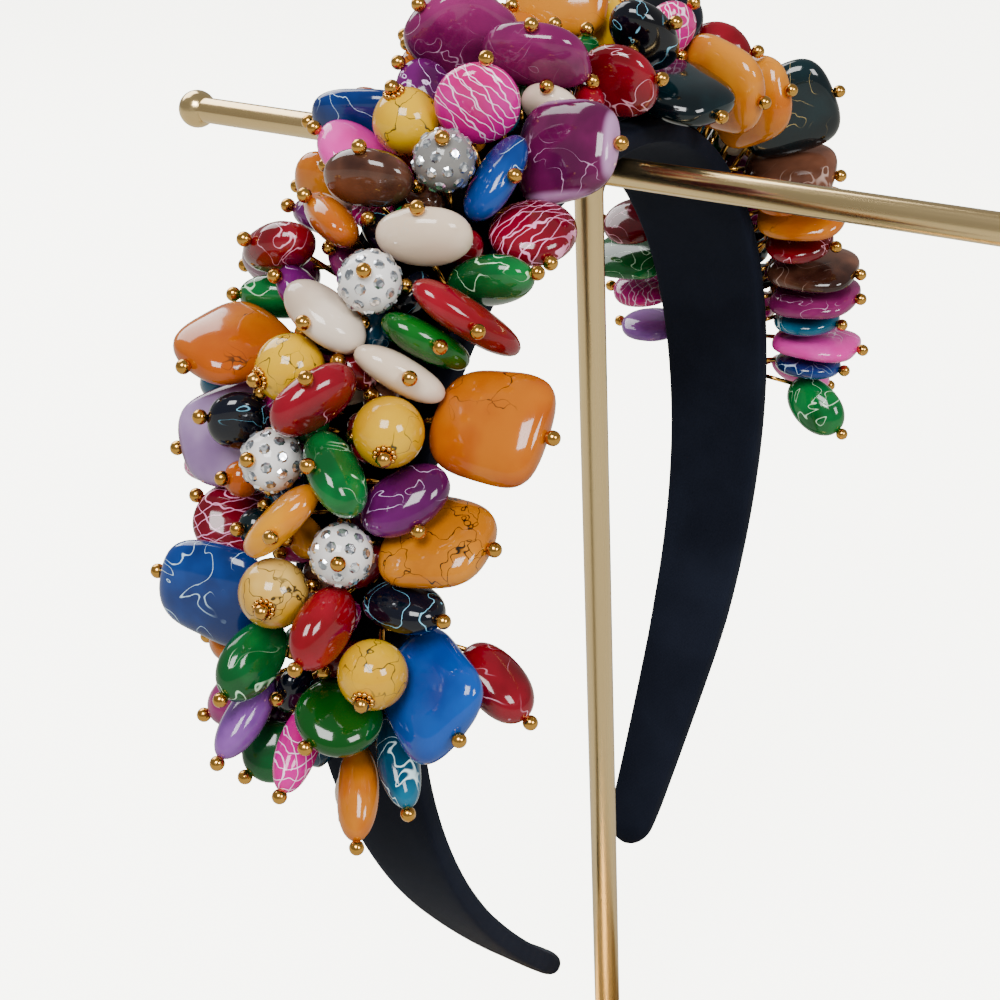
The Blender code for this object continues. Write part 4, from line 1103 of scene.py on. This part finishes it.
def addMainStones(stones, group):
    offset = 0.0
    for number, stone in enumerate(stones, 1):
        body, metal = Builder(), Builder()
        addStone(body, stone, 0, number)
        paint = stoneMaterial(stone.name, finishFor(stone), number)
        fitOut(body.finish(stone.name + "_stone", [paint], hang), stone.name)
        addPin(metal, stone, 0)
        if stone.shape == "round":
            addCap(metal, stone, 0)
        fitOut(metal.finish(stone.name + "_pin", [goldPin], hang))
        if stone.shape == "rhinestone":
            fitOut(setCrystals(stone.name + "_crystals", stone, group))
        low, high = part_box(stone.name)
        point = hang @ (stone.middle + stone.pin * (stone.half[0] + pins["ballSeat"] * pins["ball"]))
        offset = max(offset, *[max(low[i] - point[i], point[i] - high[i]) for i in range(3)])
    print("main stones:", len(stones), "largest offset from the solids", round(offset * 1000, 3), "mm")


# Stones that are one piece together: name of the paints, first seeds, rows and sides of each stone
heaps = {
    "near_bead_field": ("near_bead_field_", 60, 3, stoneMesh["rows"], stoneMesh["sides"]),
    "far_bead_field": ("far_bead_field_", 60, 3, stoneMesh["rows"], stoneMesh["sides"]),
    "small_fill": ("fill_", 200, 40, stoneMesh["fillRows"], stoneMesh["fillSides"]),
}


def addHeap(name, stones, solid=None):
    paintName, firstStone, firstPaint, rowCount, sides = heaps[name]
    used = sorted({finishFor(stone) for stone in stones})
    body, metal = Builder(), Builder()
    for index, stone in enumerate(stones):
        addStone(body, stone, used.index(finishFor(stone)), index + firstStone, rowCount, sides)
        addPin(metal, stone, 0)
        if stone.shape == "round":
            addCap(metal, stone, 0)
    paints = [stoneMaterial(paintName + finish, finish, seed) for seed, finish in enumerate(used, firstPaint)]
    fitOut(body.finish(name + "_stones", paints, hang), solid)
    fitOut(metal.finish(name + "_pins", [goldPin], hang))
    print(name, "has", len(stones), "stones")


# The stand: post and crossbar of polished gold rod, soldered, and a round base
standLook = {"sides": 64, "ballRings": 16, "neckReach": 1.2, "solderRings": 6, "footShare": 0.92,
             "footBevel": 0.1, "postEnd": 0.5, "baseSides": 128, "edgeRings": 8, "topShare": 0.5,
             "sharpAngle": 40}


def lathe(builder, start, axis, profile, sides, slot):  # profile: radius and height along the axis
    axis, side, other = axesRound(axis)
    rows = []
    for radius, height in profile:
        centre = start + axis * height
        rows.append([centre] if radius == 0.0 else roundRing(centre, side, other, radius, radius, sides))
    builder.grid(rows, slot)


def addStand():
    origin, up, along = Vector((0.0, 0.0, 0.0)), Vector((0.0, 0.0, 1.0)), Vector((0.0, 1.0, 0.0))
    radius, ball = stand["rod"] / 2, stand["endBall"] / 2
    half = stand["barLength"] / 2
    neck = math.asin(radius / ball)
    profile = [(0.0, -half - ball)]
    for i in range(1, standLook["ballRings"] + 1):
        turn = (math.pi - neck) * i / standLook["ballRings"]
        profile.append((ball * math.sin(turn), -half - ball * math.cos(turn)))
    profile.append((radius, -half + ball * standLook["neckReach"]))
    profile += [(r, -h) for r, h in reversed(profile)]
    builder = Builder()
    lathe(builder, up * stand["barHeight"], along, profile, standLook["sides"], 0)

    foot = stand["baseThick"] + pins["gap"]
    top = stand["barHeight"] - radius
    solder, rings = stand["solder"], standLook["solderRings"]
    post = [(0.0, foot), (radius * standLook["footShare"], foot),
            (radius, foot + radius * standLook["footBevel"]), (radius, top - 2 * solder)]
    for i in range(1, rings + 1):
        turn = math.pi / 2 * i / rings
        post.append((radius + solder * (1 - math.cos(turn)), top - 2 * solder * (1 - math.sin(turn))))
    end = top + radius * standLook["postEnd"]
    post += [(radius, end), (0.0, end)]
    lathe(builder, origin, up, post, standLook["sides"], 1)
    bar = builder.finish("stand_bar_and_post", [barGold, postGold])

    wide, thick, edge = stand["baseWidth"] / 2, stand["baseThick"], stand["baseEdge"]
    outline = [(0.0, 0.0), (wide - edge, 0.0)]
    rings = standLook["edgeRings"]
    for height, start in ((edge, -90), (thick - edge, 0)):
        for i in range(rings + 1):
            turn = math.radians(start + 90 * i / rings)
            outline.append((wide - edge + edge * math.cos(turn), height + edge * math.sin(turn)))
    outline += [(wide * standLook["topShare"], thick), (0.0, thick)]
    builder = Builder()
    lathe(builder, origin, up, outline, standLook["baseSides"], 0)
    disc = builder.finish("stand_round_base", [baseGold])
    for piece, solid in ((bar, "stand_t_bar"), (disc, "stand_base")):
        piece.data.set_sharp_from_angle(angle=math.radians(standLook["sharpAngle"]))
        fitOut(piece, solid)


# Studio: pale floor, a big soft light from the upper left, two fills and a pale room
studio = {"floorSize": 6.0, "floorSides": 96, "floor": "f5f4ea", "paperRough": 0.9, "glow": 6.2,
          "bounce": 0.55, "bounceDrop": 0.0004, "domeShare": 0.98, "domeSides": 64, "domeRings": 32,
          "room": (0.93, 0.935, 0.92, 1.0), "roomStrength": 0.38, "aimHeight": 0.14}
lights = {
    "keyLight": {"place": (-0.75, -0.35, 1.05), "size": 0.50, "power": 17.0},
    "windowLight": {"place": (-0.15, -1.00, 0.70), "size": 0.36, "power": 8.0},
    "backLight": {"place": (0.25, 0.95, 1.00), "size": 0.90, "power": 16.0},
}


def addPaper(name, build, paper):
    made = meshObject(name, build, [paper])
    return made


def addFloor(name, glow, drop):
    paper, _, shader = newMaterial(name + "_paper")
    colour = colourOf(studio["floor"])
    setInputs(shader, {"Base Color": colour, "Roughness": studio["paperRough"], "Emission Color": colour,
                       "Emission Strength": glow})
    disc = bmesh.new()
    bmesh.ops.create_circle(disc, cap_ends=True, segments=studio["floorSides"], radius=studio["floorSize"])
    bmesh.ops.translate(disc, verts=disc.verts[:], vec=(0.0, 0.0, -drop))
    return addPaper(name, disc, paper)


def addBackdrop(paper):  # the same pale paper all round, beyond the floor's edge
    dome = bmesh.new()
    bmesh.ops.create_uvsphere(dome, u_segments=studio["domeSides"], v_segments=studio["domeRings"],
                              radius=studio["floorSize"] * studio["domeShare"])
    bmesh.ops.reverse_faces(dome, faces=dome.faces[:])
    return addPaper("studio_backdrop", dome, paper)


def addStudio():  # the paper that shows is overexposed, the floor that lights the stones is dimmer
    shown = addFloor("studio_floor", studio["glow"], studio["bounceDrop"] / 2)
    backdrop = addBackdrop(shown.data.materials[0])
    backdrop.visible_shadow = False
    for piece in (shown, backdrop):
        piece.visible_diffuse = False
        piece.visible_glossy = False
    lower = addFloor("studio_floor_bounce", studio["bounce"], studio["bounceDrop"])
    lower.visible_camera = False
    for name, light in lights.items():
        data = bpy.data.lights.new(name, "AREA")
        data.energy = light["power"]
        data.size = light["size"]
        data.shape = "SQUARE"
        lamp = linkObject(name, data)
        lamp.location = light["place"]
        aim = Vector((0.0, 0.0, studio["aimHeight"])) - Vector(light["place"])
        lamp.rotation_euler = aim.to_track_quat("-Z", "Y").to_euler()
    world = bpy.data.worlds.new("room")
    world.use_nodes = True
    shade = world.node_tree.nodes["Background"]
    setInputs(shade, {"Color": studio["room"], "Strength": studio["roomStrength"]})
    bpy.context.scene.world = world


addCamera()
addStand()
addBand()
print("stand and band made")
main, near, far, fill = layStones()
addMainStones(main, crystalTree())
tape = clothMaterial("beading_tape_black", tapeLook)
addTape("near_beading_tape", -1, tape)
addTape("far_beading_tape", 1, tape)
addHeap("near_bead_field", near, "near_bead_field")
addHeap("far_bead_field", far, "far_bead_field")
addHeap("small_fill", fill)
addStudio()
print("studio made")
